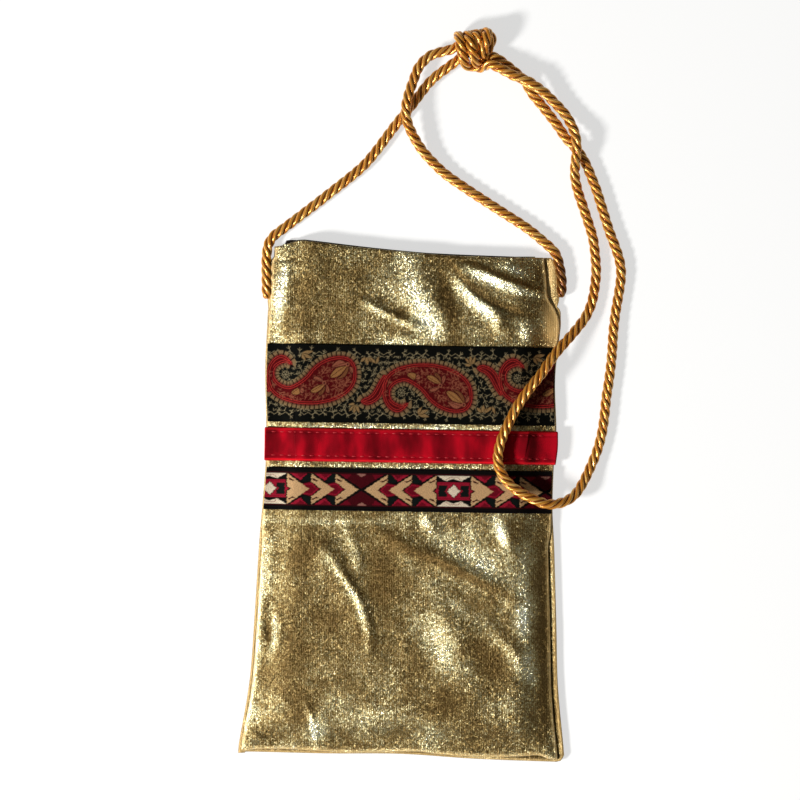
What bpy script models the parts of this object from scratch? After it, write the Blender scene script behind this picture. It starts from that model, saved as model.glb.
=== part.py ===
"""A flat gold lame pouch with three sewn ribbons and a knotted twisted-cord strap.

It lies face up and empty, as it comes to rest. Metres, +X across the front to the right, +Y towards
the mouth, +Z out of the front. The origin is the middle of the resting face.
"""

import math

import bmesh
import bpy
from mathutils import Vector
from mathutils.geometry import delaunay_2d_cdt

# Pouch outline
HEM_WIDTH = 0.1467
MOUTH_WIDTH = 0.12495
MOUTH_SHIFT = 0.0044
POUCH_HEIGHT = 0.2289
HEIGHT_SHIFT = 0.0012
MOUTH_DROP = 0.00585
HEM_DROP = 0.00155

# Outward waves of the four edges: share of the edge's length, offset from its straight line
LEFT_WAVE = [(0, 0), (0.04, -0.0006), (0.12, -0.0028), (0.2, -0.0034), (0.4, -0.0032), (0.56, -0.0038),
             (0.64, -0.003), (0.75, -0.0008), (0.84, -0.0003), (0.877, -0.0002), (0.893, -0.0018),
             (0.95, -0.0011), (0.982, -0.0009), (1, -0.0012)]
RIGHT_WAVE = [(0, 0), (0.09, -0.0014), (0.16, -0.0019), (0.3, -0.0017), (0.42, -0.0017), (0.48, -0.002),
              (0.57, -0.0011), (0.64, 0.0008), (0.7, 0.0006), (0.8, 0.0014), (0.83, 0.0027),
              (0.862, 0.0042), (0.893, 0.0042), (0.915, 0.0014), (0.96, 0.0006), (1, 0)]
HEM_WAVE = [(0, 0), (0.06, 0.0009), (0.14, 0.001), (0.24, 0.0004), (0.36, -0.0002), (0.55, 0.0005),
            (0.61, -0.0006), (0.77, -0.0016), (0.88, -0.0011), (0.92, -0.0006), (0.965, -0.0025),
            (0.987, -0.0024), (1, 0)]
MOUTH_WAVE = [(0, -0.0006), (0.1, 0.0024), (0.19, 0.0016), (0.28, 0.00075), (0.37, 0.0001),
              (0.46, -0.00045), (0.64, -0.0012), (0.82, -0.00105), (1, 0)]

# Layers and the closed edges
FABRIC = 0.0008
LINING = 0.0005
CLEARANCE = 0.0003
LINING_CLEARANCE = 0.0006
RIM_HEIGHT = 0.002
RIM_WIDTH = 0.006
CAVITY = 0.0044
CAVITY_SLOPE = 0.012
LINING_SETBACK = 0.004
LINING_PEEK = 0.0006

# How far the front's edge lies inside the back's: share of the height, inset
LEFT_INSET = [(0, 0.0012), (0.4, 0.0012), (0.47, 0.0006), (1, 0.0006)]
RIGHT_INSET = [(0, 0.0028), (0.42, 0.0026), (0.47, 0.0006), (0.86, 0.0006), (0.92, 0.0024), (1, 0.0024)]
HEM_INSET = 0.001

# Raised folds of the front: start, end, height, half width
FOLDS = [
    ((-0.0520, 0.1120), (-0.0510, 0.0760), 0.0009, 0.0034),
    ((-0.0560, 0.1070), (-0.0460, 0.1070), 0.0006, 0.0016),
    ((-0.0155, 0.0895), (0.0022, 0.0792), 0.0009, 0.0026),
    ((0.0030, 0.0975), (0.0120, 0.0890), 0.0012, 0.0055),
    ((0.0240, 0.1080), (0.0420, 0.0975), 0.0012, 0.0028),
    ((0.0420, 0.0975), (0.0610, 0.0925), 0.0010, 0.0028),
    ((0.0400, 0.1085), (0.0610, 0.1010), 0.0012, 0.0026),
    ((0.0434, 0.0850), (0.0434, 0.0745), 0.0008, 0.0024),
    ((0.0655, 0.0890), (0.0650, 0.0760), 0.0013, 0.0042),
    ((-0.0351, -0.0225), (-0.0180, -0.0510), 0.0013, 0.0036),
    ((-0.0180, -0.0510), (-0.0153, -0.0675), 0.0009, 0.0036),
    ((-0.0005, -0.0190), (0.0240, -0.0288), 0.0010, 0.0030),
    ((0.0240, -0.0288), (0.0576, -0.0441), 0.0013, 0.0030),
    ((0.0460, -0.0190), (0.0470, -0.0150), 0.0009, 0.0036),
    ((0.0560, -0.0230), (0.0560, -0.0800), 0.0009, 0.0040),
    ((-0.0567, -0.0180), (-0.0600, -0.0470), 0.0011, 0.0032),
    ((-0.0590, -0.0600), (-0.0665, -0.1050), 0.0013, 0.0036),
    ((-0.0450, -0.0980), (-0.0390, -0.1110), 0.0009, 0.0030),
]
FOLD_EDGE_FADE = 0.006
FOLD_RIBBON_FADE = 0.008

# Shares of the height where the nets have their rows, close together at the strap's seam ends
BACK_ROWS = (0.12, 0.25, 0.4, 0.48, 0.57, 0.64, 0.75, 0.84, 0.862, 0.877, 0.893, 0.915)
LINING_ROWS = (0.12, 0.25, 0.4, 0.48, 0.57, 0.64, 0.75, 0.84, 0.877, 0.915)
FRONT_COLUMNS = 17
FRONT_LOWER_ROWS = 18
FRONT_RIBBON_ROWS = (0.43, 0.52, 0.61, 0.7, 0.79)
FRONT_UPPER_ROWS = (0.81, 0.835, 0.862, 0.877, 0.893, 0.915, 0.94, 0.965, 0.985)

# Ribbons, from the mouth down: widths, gaps between them, thicknesses
TOP_RIBBON_FROM_MOUTH = 0.0444
PAISLEY_WIDTH = 0.0348
PAISLEY_THICKNESS = 0.0006
PAISLEY_VELVET_GAP = 0.0031
VELVET_WIDTH = 0.0143
VELVET_THICKNESS = 0.0012
VELVET_OVERHANG = 0.0011
VELVET_GEOMETRIC_GAP = 0.0035
GEOMETRIC_WIDTH = 0.0186
GEOMETRIC_THICKNESS = 0.0008
RIBBON_TILT = -0.0021
RIBBON_LIFT = 0.0004

# Paisley motif: spine points with half widths, in a frame centred on the motif
PAISLEY_PITCH = 0.0522
PAISLEY_FIRST = -0.0400
PAISLEY_BORDER = 0.0021
PAISLEY_SPINE = [
    (-0.0098, 0.0084, 0.0002), (-0.0126, 0.0103, 0.0012), (-0.0158, 0.0097, 0.0018),
    (-0.0184, 0.0062, 0.0018), (-0.0183, 0.0014, 0.0020), (-0.0155, -0.0028, 0.0027),
    (-0.0103, -0.0050, 0.0035), (-0.0040, -0.0043, 0.0051), (0.0022, -0.0020, 0.0070),
    (0.0074, 0.0010, 0.0084), (0.0108, 0.0029, 0.0091)]
CURL_CENTRE = (-0.0124, 0.0035)
CURL_RADIUS = 0.0031
CURL_SIDES = 8
BULB_SIDES = 7
BORDER_FROM = 6  # the spine point where the border of the outer side starts, past the tail

# Geometric motif: sizes along the ribbon from the middle of the diamond block, and across it
GEOMETRIC_HALF_PERIOD = 0.0415
GEOMETRIC_FIRST = -0.0592
BAND_HALF = 0.0072
DIAMOND_HALF = 0.0029
BLOCK_HALF = 0.0074
BRACKET_HALF = 0.0040
TOOTH_TIP = (0.0033, 0.0042)
TOOTH_NOTCH = 0.0058
ARROW_BASE = 0.0079
ARROW_TIP = 0.0178
CHEVRON_BACKS = (0.0189, 0.0298)
CHEVRON_LENGTH = 0.0104
CHEVRON_NOTCH = 0.0046
CHEVRON_INNER_HALF = 0.0035
HOURGLASS_HALF = 0.0098
HOURGLASS_TIP = 0.0008

# Sewing threads
THREAD_WIDTH = 0.0006
THREAD_HEIGHT = 0.0003
VELVET_STITCH_INSET = 0.0013
MOUTH_STITCH_INSET = 0.0014

# Strap
CORD_DIAMETER = 0.0047
CORD_POINT_SPACING = 0.0112
KNOT_CENTRE = (0.0331, 0.2039, 0.0068)
KNOT_SIZE = (0.0196, 0.0176, 0.0130)
KNOT_LUMP = 0.0007
KNOT_WRAPS = 7
KNOT_SLANT = 0.45

LEFT_RUN = [
    (-0.0606, 0.0916, 0.0027), (-0.0607, 0.0995, 0.0026), (-0.0608, 0.1053, 0.0026),
    (-0.0607, 0.1107, 0.0026), (-0.0599, 0.1160, 0.0026), (-0.0574, 0.1200, 0.0025),
    (-0.0539, 0.1227, 0.0024), (-0.0455, 0.1290, 0.0024), (-0.0320, 0.1394, 0.0024),
    (-0.0182, 0.1505, 0.0024), (-0.0113, 0.1582, 0.0024), (-0.0058, 0.1656, 0.0024),
    (-0.0009, 0.1720, 0.0024), (0.0047, 0.1788, 0.0024), (0.0086, 0.1840, 0.0024),
    (0.0122, 0.1886, 0.0026), (0.0165, 0.1925, 0.0036), (0.0206, 0.1955, 0.0044),
    (0.0249, 0.1986, 0.0052)]
RIGHT_RUN = [
    (0.0723, 0.0922, 0.0027), (0.0726, 0.0994, 0.0026), (0.0715, 0.1066, 0.0026),
    (0.0695, 0.1124, 0.0026), (0.0637, 0.1180, 0.0025), (0.0562, 0.1240, 0.0024),
    (0.0472, 0.1298, 0.0024), (0.0382, 0.1356, 0.0024), (0.0292, 0.1415, 0.0024),
    (0.0202, 0.1478, 0.0026), (0.0139, 0.1537, 0.0032), (0.0092, 0.1591, 0.0046),
    (0.0050, 0.1660, 0.0066), (0.0026, 0.1722, 0.0078), (0.0023, 0.1782, 0.0080),
    (0.0035, 0.1838, 0.0074), (0.0055, 0.1896, 0.0064), (0.0081, 0.1960, 0.0058),
    (0.0126, 0.2007, 0.0056), (0.0176, 0.2026, 0.0058), (0.0225, 0.2037, 0.0059)]
LOOP_RUN = [
    (0.0441, 0.2021, 0.0063), (0.0468, 0.1999, 0.0050), (0.0513, 0.1953, 0.0032), (0.0556, 0.1902, 0.0025),
    (0.0592, 0.1843, 0.0024), (0.0633, 0.1793, 0.0024), (0.0675, 0.1740, 0.0024),
    (0.0714, 0.1688, 0.0024), (0.0745, 0.1642, 0.0024), (0.0782, 0.1603, 0.0024),
    (0.0817, 0.1557, 0.0024), (0.0842, 0.1509, 0.0024), (0.0862, 0.1460, 0.0024),
    (0.0884, 0.1403, 0.0024), (0.0909, 0.1323, 0.0024), (0.0940, 0.1224, 0.0024),
    (0.0967, 0.1152, 0.0024), (0.0987, 0.1089, 0.0024), (0.0994, 0.1029, 0.0024),
    (0.0988, 0.0968, 0.0024), (0.0978, 0.0908, 0.0024), (0.0968, 0.0848, 0.0024),
    (0.0959, 0.0768, 0.0024), (0.0954, 0.0687, 0.0024), (0.0947, 0.0607, 0.0024),
    (0.0936, 0.0526, 0.0024), (0.0927, 0.0468, 0.0024), (0.0919, 0.0388, 0.0024),
    (0.0907, 0.0308, 0.0024), (0.0885, 0.0228, 0.0026), (0.0851, 0.0147, 0.0034),
    (0.0821, 0.0087, 0.0048), (0.0790, 0.0041, 0.0066), (0.0752, 0.0010, 0.0085),
    (0.0702, -0.0007, 0.0104), (0.0650, -0.0007, 0.0117), (0.0594, 0.0014, 0.0123),
    (0.0526, 0.0050, 0.0126), (0.0476, 0.0093, 0.0128), (0.0444, 0.0145, 0.0131),
    (0.0435, 0.0205, 0.0133), (0.0449, 0.0275, 0.0132), (0.0479, 0.0347, 0.0128),
    (0.0513, 0.0414, 0.0122), (0.0553, 0.0477, 0.0122), (0.0594, 0.0531, 0.0121),
    (0.0630, 0.0576, 0.0117), (0.0662, 0.0623, 0.0110), (0.0694, 0.0667, 0.0098),
    (0.0728, 0.0707, 0.0083), (0.0764, 0.0747, 0.0067), (0.0798, 0.0787, 0.0052),
    (0.0829, 0.0828, 0.0039), (0.0848, 0.0864, 0.0031), (0.0864, 0.0908, 0.0026),
    (0.0875, 0.0968, 0.0024), (0.0881, 0.1029, 0.0024), (0.0879, 0.1089, 0.0024),
    (0.0868, 0.1183, 0.0024), (0.0849, 0.1250, 0.0024), (0.0822, 0.1332, 0.0024),
    (0.0798, 0.1404, 0.0028), (0.0785, 0.1467, 0.0040), (0.0785, 0.1512, 0.0056),
    (0.0790, 0.1570, 0.0074), (0.0790, 0.1618, 0.0077), (0.0783, 0.1658, 0.0066),
    (0.0769, 0.1697, 0.0052), (0.0747, 0.1738, 0.0042), (0.0717, 0.1775, 0.0041),
    (0.0681, 0.1812, 0.0046), (0.0646, 0.1845, 0.0056), (0.0608, 0.1872, 0.0070),
    (0.0565, 0.1898, 0.0080), (0.0520, 0.1911, 0.0081), (0.0474, 0.1929, 0.0078),
    (0.0434, 0.1945, 0.0074), (0.0395, 0.1963, 0.0069)]

# Net spacing: distances from an edge, columns across, and passes that settle a point between the edges
EDGE_STEPS = (0, 0.002, LINING_SETBACK, 0.007, 0.010, 0.013, LINING_SETBACK + CAVITY_SLOPE)
RIM_STEPS = (0, 0.0015, 0.0035, RIM_WIDTH)
BACK_COLUMNS = 4
LINING_COLUMNS = 3
BACK_LINING_COLUMNS = 2
RIBBON_COLUMNS = 6
SHARE_PASSES = 8
EDGE_PASSES = 6
CURVE_STEPS = 12
SHARP_ANGLE = math.radians(50)
MILLIMETRES = 1000.0
WELD_MILLIMETRES = 0.0001


def clear_scene():
    for item in list(bpy.data.objects):
        bpy.data.objects.remove(item, do_unlink=True)


def linear(channel):
    value = channel / 255.0
    return value / 12.92 if value <= 0.04045 else ((value + 0.055) / 1.055) ** 2.4


def make_material(name, rgb, roughness, metallic=0.0, sheen=0.0):
    material = bpy.data.materials.new(name)
    material.use_nodes = True
    shader = material.node_tree.nodes["Principled BSDF"]
    colour = [linear(channel) for channel in rgb] + [1.0]
    shader.inputs["Base Color"].default_value = colour
    shader.inputs["Roughness"].default_value = roughness
    shader.inputs["Metallic"].default_value = metallic
    shader.inputs["Sheen Weight"].default_value = sheen
    material.diffuse_color = colour
    return material


def mix(a, b, share):
    return a + (b - a) * share


def smooth(value):
    value = min(1.0, max(0.0, value))
    return value * value * (3 - 2 * value)


def eased(points, at):
    """Value at `at` on a smooth curve through (place, value) points that never overshoots them."""
    places = [place for place, _ in points]
    values = [value for _, value in points]
    rises = [(b - a) / (q - p) for p, q, a, b in zip(places, places[1:], values, values[1:])]
    slopes = [0.0] * len(points)
    for index in range(1, len(points) - 1):
        before, after = rises[index - 1], rises[index]
        if before * after > 0:
            slopes[index] = 2 * before * after / (before + after)
    at = min(places[-1], max(places[0], at))
    index = max(i for i in range(len(points) - 1) if places[i] <= at)
    span = places[index + 1] - places[index]
    t = (at - places[index]) / span
    start, end = values[index], values[index + 1]
    return (start * (1 + 2 * t) * (1 - t) ** 2 + end * t * t * (3 - 2 * t)
            + span * slopes[index] * t * (1 - t) ** 2 + span * slopes[index + 1] * t * t * (t - 1))


# Outline of the pouch, as shares across (u) and up (v)
def left_edge(v):
    straight = mix(-HEM_WIDTH / 2, MOUTH_SHIFT - MOUTH_WIDTH / 2, v)
    return straight - eased(LEFT_WAVE, v)


def right_edge(v):
    return mix(HEM_WIDTH / 2, MOUTH_SHIFT + MOUTH_WIDTH / 2, v) + eased(RIGHT_WAVE, v)


def hem_edge(u):
    return HEIGHT_SHIFT - POUCH_HEIGHT / 2 - HEM_DROP * u + eased(HEM_WAVE, u)


def mouth_edge(u):
    return HEIGHT_SHIFT + POUCH_HEIGHT / 2 - MOUTH_DROP * u + eased(MOUTH_WAVE, u)


def shares_at(x, y):
    u = v = 0.5
    for _ in range(SHARE_PASSES):
        u = min(1.0, max(0.0, (x - left_edge(v)) / (right_edge(v) - left_edge(v))))
        v = min(1.0, max(0.0, (y - hem_edge(u)) / (mouth_edge(u) - hem_edge(u))))
    return u, v


def front_left(v):
    return left_edge(v) + eased(LEFT_INSET, v)


def front_right(v):
    return right_edge(v) - eased(RIGHT_INSET, v)


def front_hem(u):
    return hem_edge(u) + HEM_INSET


# Heights of the layers
def rim_rise(x, y):
    u, v = shares_at(x, y)
    nearest = min(x - left_edge(v), right_edge(v) - x, y - hem_edge(u))
    return RIM_HEIGHT * max(0.0, 1 - max(0.0, nearest) / RIM_WIDTH) ** 2


def back_bottom(x, y):
    return rim_rise(x, y)


def back_top(x, y):
    return rim_rise(x, y) + FABRIC


def lining_back_bottom(x, y):
    return back_top(x, y) + CLEARANCE


def lining_back_top(x, y):
    return lining_back_bottom(x, y) + LINING


def opening_height(x, y):
    """Room between the panels: first for the two linings, then for the cavity."""
    u, v = shares_at(x, y)
    distances = (x - front_left(v), front_right(v) - x, y - front_hem(u))
    stack = 2 * LINING + CLEARANCE + LINING_CLEARANCE
    for distance in distances:
        stack *= smooth(distance / LINING_SETBACK)
    cavity = CAVITY
    for distance in distances:
        cavity *= smooth((distance - LINING_SETBACK) / CAVITY_SLOPE)
    return stack + cavity


def panel_base(x, y):
    return back_top(x, y) + CLEARANCE + opening_height(x, y)


def lining_front_top(x, y):
    return panel_base(x, y) - LINING_CLEARANCE


def lining_front_bottom(x, y):
    return lining_front_top(x, y) - LINING


def ribbon_fade(y):
    """0 where the sewn ribbons hold the front flat, 1 away from them."""
    above = (y - ribbon_centre("paisley", 0.5) - PAISLEY_WIDTH / 2) / FOLD_RIBBON_FADE
    below = (ribbon_centre("geometric", 0.5) - GEOMETRIC_WIDTH / 2 - y) / FOLD_RIBBON_FADE
    return smooth(max(above, below))


def fold_rise(x, y):
    u, v = shares_at(x, y)
    nearest = min(x - front_left(v), front_right(v) - x, y - front_hem(u), mouth_edge(u) - y)
    fade = ribbon_fade(y) * smooth(nearest / FOLD_EDGE_FADE)
    if fade == 0:
        return 0.0
    point = Vector((x, y))
    rise = 0.0
    for start, end, height, half_width in FOLDS:
        start, end = Vector(start), Vector(end)
        along = end - start
        share = min(1.0, max(0.0, (point - start).dot(along) / along.length_squared))
        distance = (point - start - along * share).length
        rise = max(rise, height * math.exp(-0.5 * (distance / half_width) ** 2))
    return rise * fade


def front_bottom(x, y):
    return panel_base(x, y) + fold_rise(x, y)


def front_top(x, y):
    return front_bottom(x, y) + FABRIC


def ribbon_centre(name, u):
    centre = HEIGHT_SHIFT + POUCH_HEIGHT / 2 - TOP_RIBBON_FROM_MOUTH - PAISLEY_WIDTH / 2
    if name != "paisley":
        centre -= PAISLEY_WIDTH / 2 + PAISLEY_VELVET_GAP + VELVET_WIDTH / 2
    if name == "geometric":
        centre -= VELVET_WIDTH / 2 + VELVET_GEOMETRIC_GAP + GEOMETRIC_WIDTH / 2
    return centre + RIBBON_TILT * u


# Mesh building
def stations(low, high, shares):
    """Places across a span, as (share, offset) pairs: steps from each end and shares of the rest."""
    between = [(share, low[-1] * (1 - share) - high[-1] * share) for share in shares]
    return [(0, step) for step in low] + between + [(1, -step) for step in reversed(high)]


def even_shares(count):
    return [index / count for index in range(1, count)]


def grid_points(columns, rows, left, right, bottom, top):
    """Points of a net whose columns and rows keep their distances from wavy edges."""
    net = []
    for row_share, row_offset in rows:
        line = []
        for column_share, column_offset in columns:
            u, v = column_share, row_share
            for _ in range(EDGE_PASSES):
                x = mix(left(v), right(v), column_share) + column_offset
                y = mix(bottom(u), top(u), row_share) + row_offset
                u, v = shares_at(x, y)
            line.append((x, y))
        net.append(line)
    return net


def link(name, mesh, materials):
    for material in materials:
        mesh.materials.append(material)
    item = bpy.data.objects.new(name, mesh)
    bpy.context.scene.collection.objects.link(item)
    return item


def sheet_from_triangles(name, flat, faces, low, high, materials, slots):
    """Closes a sheet between two height fields over a flat triangulated net."""
    net = bmesh.new()
    top = [net.verts.new((x, y, high(x, y))) for x, y in flat]
    under = [net.verts.new((x, y, low(x, y))) for x, y in flat]
    sides = {}
    for face, slot in zip(faces, slots):
        net.faces.new([top[index] for index in face]).material_index = slot
        for a, b in zip(face, face[1:] + face[:1]):
            sides[(a, b)] = True
        net.faces.new([under[index] for index in reversed(face)])
    for a, b in sides:
        if (b, a) not in sides:
            net.faces.new([top[b], top[a], under[a], under[b]])
    loose = [vert for vert in net.verts if not vert.link_faces]
    bmesh.ops.delete(net, geom=loose, context="VERTS")
    mesh = bpy.data.meshes.new(name)
    net.to_mesh(mesh)
    net.free()
    mesh.shade_smooth()
    mesh.set_sharp_from_angle(angle=SHARP_ANGLE)
    return link(name, mesh, materials)


def grid_sheet(name, net, low, high, material):
    width = len(net[0])
    flat = [point for line in net for point in line]
    faces = []
    for row in range(len(net) - 1):
        for column in range(width - 1):
            a = row * width + column
            faces.append([a, a + 1, a + width + 1, a + width])
    return sheet_from_triangles(name, flat, faces, low, high, [material], [0] * len(faces))


def inside(point, polygon):
    x, y = point
    hit = False
    for (ax, ay), (bx, by) in zip(polygon, polygon[1:] + polygon[:1]):
        if (ay > y) != (by > y) and x < ax + (bx - ax) * (y - ay) / (by - ay):
            hit = not hit
    return hit


def closed_edges(first, count):
    return [(first + index, first + (index + 1) % count) for index in range(count)]


def triangulated(outline, polygons, lines):
    """Triangles inside `outline` whose edges follow the polygons and lines, in metres."""
    points = []
    edges = []
    for polygon in [outline] + polygons:
        edges += closed_edges(len(points), len(polygon))
        points += polygon
    for line in lines:
        edges += [(len(points) + index, len(points) + index + 1) for index in range(len(line) - 1)]
        points += line
    scaled = [Vector((x * MILLIMETRES, y * MILLIMETRES)) for x, y in points]
    places, _, faces, *_ = delaunay_2d_cdt(scaled, edges, [], 0, WELD_MILLIMETRES)
    flat = [(place.x / MILLIMETRES, place.y / MILLIMETRES) for place in places]
    kept = []
    for face in faces:
        centre = (sum(flat[i][0] for i in face) / 3, sum(flat[i][1] for i in face) / 3)
        if inside(centre, outline):
            kept.append(list(face))
    return flat, kept


# Ribbons
def ribbon_frame(name, width, overhang):
    """Outline of a ribbon on the front and the crease lines that it shares with the front."""
    columns = stations(EDGE_STEPS, EDGE_STEPS, even_shares(RIBBON_COLUMNS))

    def low_edge(u):
        return ribbon_centre(name, u) - width / 2

    def high_edge(u):
        return ribbon_centre(name, u) + width / 2

    net = []
    for row_share in (0, 0.5, 1):
        line = []
        for column_share, column_offset in columns:
            u = v = 0.5
            for _ in range(EDGE_PASSES):
                x = mix(front_left(v), front_right(v), column_share) + column_offset
                y = mix(low_edge(u), high_edge(u), row_share)
                u, v = shares_at(x, y)
            line.append((x, y))
        line[0] = (line[0][0] - overhang, line[0][1])
        line[-1] = (line[-1][0] + overhang, line[-1][1])
        net.append(line)
    right = [line[-1] for line in net[1:-1]]
    left = [line[0] for line in reversed(net[1:-1])]
    outline = net[0] + right + list(reversed(net[-1])) + left
    creases = [[line[index] for line in net] for index in range(1, len(columns) - 1)]
    return outline, creases


def ribbon(name, node, width, thickness, materials, fields, overhang=0.0):
    """A sewn ribbon whose coloured fields, (polygon, slot), lie on a sheet that follows the front."""
    outline, creases = ribbon_frame(name, width, overhang)
    flat, faces = triangulated(outline, [polygon for polygon, _ in fields], creases)
    slots = []
    for face in faces:
        centre = (sum(flat[i][0] for i in face) / 3, sum(flat[i][1] for i in face) / 3)
        slot = 0
        for polygon, field_slot in fields:
            if inside(centre, polygon):
                slot = field_slot
        slots.append(slot)

    def low(x, y):
        return front_top(x, y) + RIBBON_LIFT

    def high(x, y):
        return low(x, y) + thickness

    return sheet_from_triangles(node, flat, faces, low, high, materials, slots)


def paisley_outline(extra):
    """One comma-shaped motif, widened by `extra`: the outer side, the bulb's arc, the inner side."""
    outer = []
    inner = []
    for index, (x, y, half) in enumerate(PAISLEY_SPINE):
        before = PAISLEY_SPINE[max(0, index - 1)]
        after = PAISLEY_SPINE[min(len(PAISLEY_SPINE) - 1, index + 1)]
        along = Vector((after[0] - before[0], after[1] - before[1])).normalized()
        side = Vector((along.y, -along.x)) * (half + extra)
        outer.append((x - side.x, y - side.y))
        inner.append((x + side.x, y + side.y))
    x, y, half = PAISLEY_SPINE[-1]
    start = math.atan2(inner[-1][1] - y, inner[-1][0] - x)
    arc = []
    for step in range(1, BULB_SIDES):
        angle = start + math.pi * step / BULB_SIDES
        arc.append((x + math.cos(angle) * (half + extra), y + math.sin(angle) * (half + extra)))
    return inner, arc, outer


def paisley_fields():
    belly, bulb, shoulder = paisley_outline(0.0)
    body = belly + bulb + list(reversed(shoulder))
    wide_belly, wide_bulb, wide_shoulder = paisley_outline(PAISLEY_BORDER)
    border = wide_belly + wide_bulb + list(reversed(wide_shoulder[BORDER_FROM:]))
    curl = []
    for step in range(CURL_SIDES):
        angle = 2 * math.pi * step / CURL_SIDES
        curl.append((CURL_CENTRE[0] + CURL_RADIUS * math.cos(angle),
                     CURL_CENTRE[1] + CURL_RADIUS * math.sin(angle)))
    fields = []
    half_length = max(x + half for x, _, half in PAISLEY_SPINE)
    count = int((HEM_WIDTH - PAISLEY_FIRST) // PAISLEY_PITCH)
    for index in range(count):
        middle = PAISLEY_FIRST + index * PAISLEY_PITCH
        if middle - half_length > HEM_WIDTH / 2:
            continue
        flip = 1 if index % 2 == 0 else -1
        centre = ribbon_centre("paisley", middle / HEM_WIDTH + 0.5)
        for polygon, slot in ((border, 2), (body, 1), (curl, 0)):
            fields.append(([(middle + x, centre + flip * y) for x, y in polygon], slot))
    return fields


def geometric_fields():
    block = [
        ([(-BLOCK_HALF, -BRACKET_HALF), (BLOCK_HALF, -BRACKET_HALF), (BLOCK_HALF, BRACKET_HALF),
          (-BLOCK_HALF, BRACKET_HALF)], 1),
        ([(-DIAMOND_HALF, 0), (0, -DIAMOND_HALF), (DIAMOND_HALF, 0), (0, DIAMOND_HALF)], 3)]
    for side in (1, -1):
        tooth_x, tooth_y = TOOTH_TIP
        teeth = [(-BLOCK_HALF, BAND_HALF), (-tooth_x, tooth_y), (0, TOOTH_NOTCH), (tooth_x, tooth_y),
                 (BLOCK_HALF, BAND_HALF)]
        block.append(([(x, side * y) for x, y in teeth], 3))
        bulb = [(-HOURGLASS_HALF, BAND_HALF), (0, HOURGLASS_TIP), (HOURGLASS_HALF, BAND_HALF)]
        block.append(([(GEOMETRIC_HALF_PERIOD + x, side * y) for x, y in bulb], 1))
    arrows = [([(ARROW_BASE, -BAND_HALF), (ARROW_TIP, 0), (ARROW_BASE, BAND_HALF)], 2)]
    for back in CHEVRON_BACKS:
        tip, notch = back + CHEVRON_LENGTH, back + CHEVRON_NOTCH
        tongue = back - CHEVRON_NOTCH
        arrows.append(([(tongue, -CHEVRON_INNER_HALF), (notch, 0), (tongue, CHEVRON_INNER_HALF)], 1))
        arrows.append(([(back, -BAND_HALF), (tip, 0), (back, BAND_HALF), (back, CHEVRON_INNER_HALF),
                        (notch, 0), (back, -CHEVRON_INNER_HALF)], 2))
    fields = []
    period = 2 * GEOMETRIC_HALF_PERIOD
    for index in range(-1, int(HEM_WIDTH // period) + 2):
        middle = GEOMETRIC_FIRST + index * period
        centre = ribbon_centre("geometric", middle / HEM_WIDTH + 0.5)
        shapes = block + arrows + [([(-x, y) for x, y in polygon], slot) for polygon, slot in arrows]
        for polygon, slot in shapes:
            moved = [(middle + x, centre + y) for x, y in polygon]
            if max(x for x, _ in moved) > -HEM_WIDTH / 2 and min(x for x, _ in moved) < HEM_WIDTH / 2:
                fields.append((moved, slot))
    return fields


def thread(name, y_of, height_of, material):
    """A row of stitches, as one thin strip along y_of(u) that follows the surface below it."""
    columns = stations(EDGE_STEPS[2:], EDGE_STEPS[2:], even_shares(RIBBON_COLUMNS))
    net = []
    for side in (-0.5, 0.5):
        line = []
        for share, offset in columns:
            u = v = 0.5
            for _ in range(EDGE_PASSES):
                x = mix(front_left(v), front_right(v), share) + offset
                y = y_of(u) + side * THREAD_WIDTH
                u, v = shares_at(x, y)
            line.append((x, y))
        net.append(line)
    return grid_sheet(name, net, lambda x, y: height_of(x, y) + CLEARANCE,
                      lambda x, y: height_of(x, y) + CLEARANCE + THREAD_HEIGHT, material)


# Strap
def smooth_route(points, spacing):
    """Points `spacing` apart on one smooth curve through the route's own points."""
    nodes = [Vector(point) for point in points]
    ends = [nodes[0] * 2 - nodes[1]] + nodes + [nodes[-1] * 2 - nodes[-2]]
    fine = []
    for index in range(1, len(ends) - 2):
        a, b, c, d = ends[index - 1:index + 3]
        for step in range(CURVE_STEPS):
            t = step / CURVE_STEPS
            fine.append(0.5 * (2 * b + (c - a) * t + (2 * a - 5 * b + 4 * c - d) * t ** 2
                               + (3 * b - a - 3 * c + d) * t ** 3))
    fine.append(nodes[-1])
    travelled = [0.0]
    for a, b in zip(fine, fine[1:]):
        travelled.append(travelled[-1] + (b - a).length)
    count = max(2, round(travelled[-1] / spacing))
    even = []
    index = 0
    for number in range(count + 1):
        target = travelled[-1] * number / count
        while index < len(fine) - 2 and travelled[index + 1] < target:
            index += 1
        share = (target - travelled[index]) / (travelled[index + 1] - travelled[index])
        even.append(fine[index].lerp(fine[index + 1], share))
    return even


def cord_tube(name, route, material):
    curve = bpy.data.curves.new(name, "CURVE")
    curve.dimensions = "3D"
    curve.bevel_depth = CORD_DIAMETER / 2
    curve.bevel_resolution = 2
    curve.use_fill_caps = True
    points = smooth_route(route, CORD_POINT_SPACING)
    spline = curve.splines.new("POLY")
    spline.points.add(len(points) - 1)
    for slot, point in zip(spline.points, points):
        slot.co = (*point, 1)
    spline.use_smooth = True
    curve.materials.append(material)
    item = bpy.data.objects.new(name, curve)
    bpy.context.scene.collection.objects.link(item)
    return item


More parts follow.
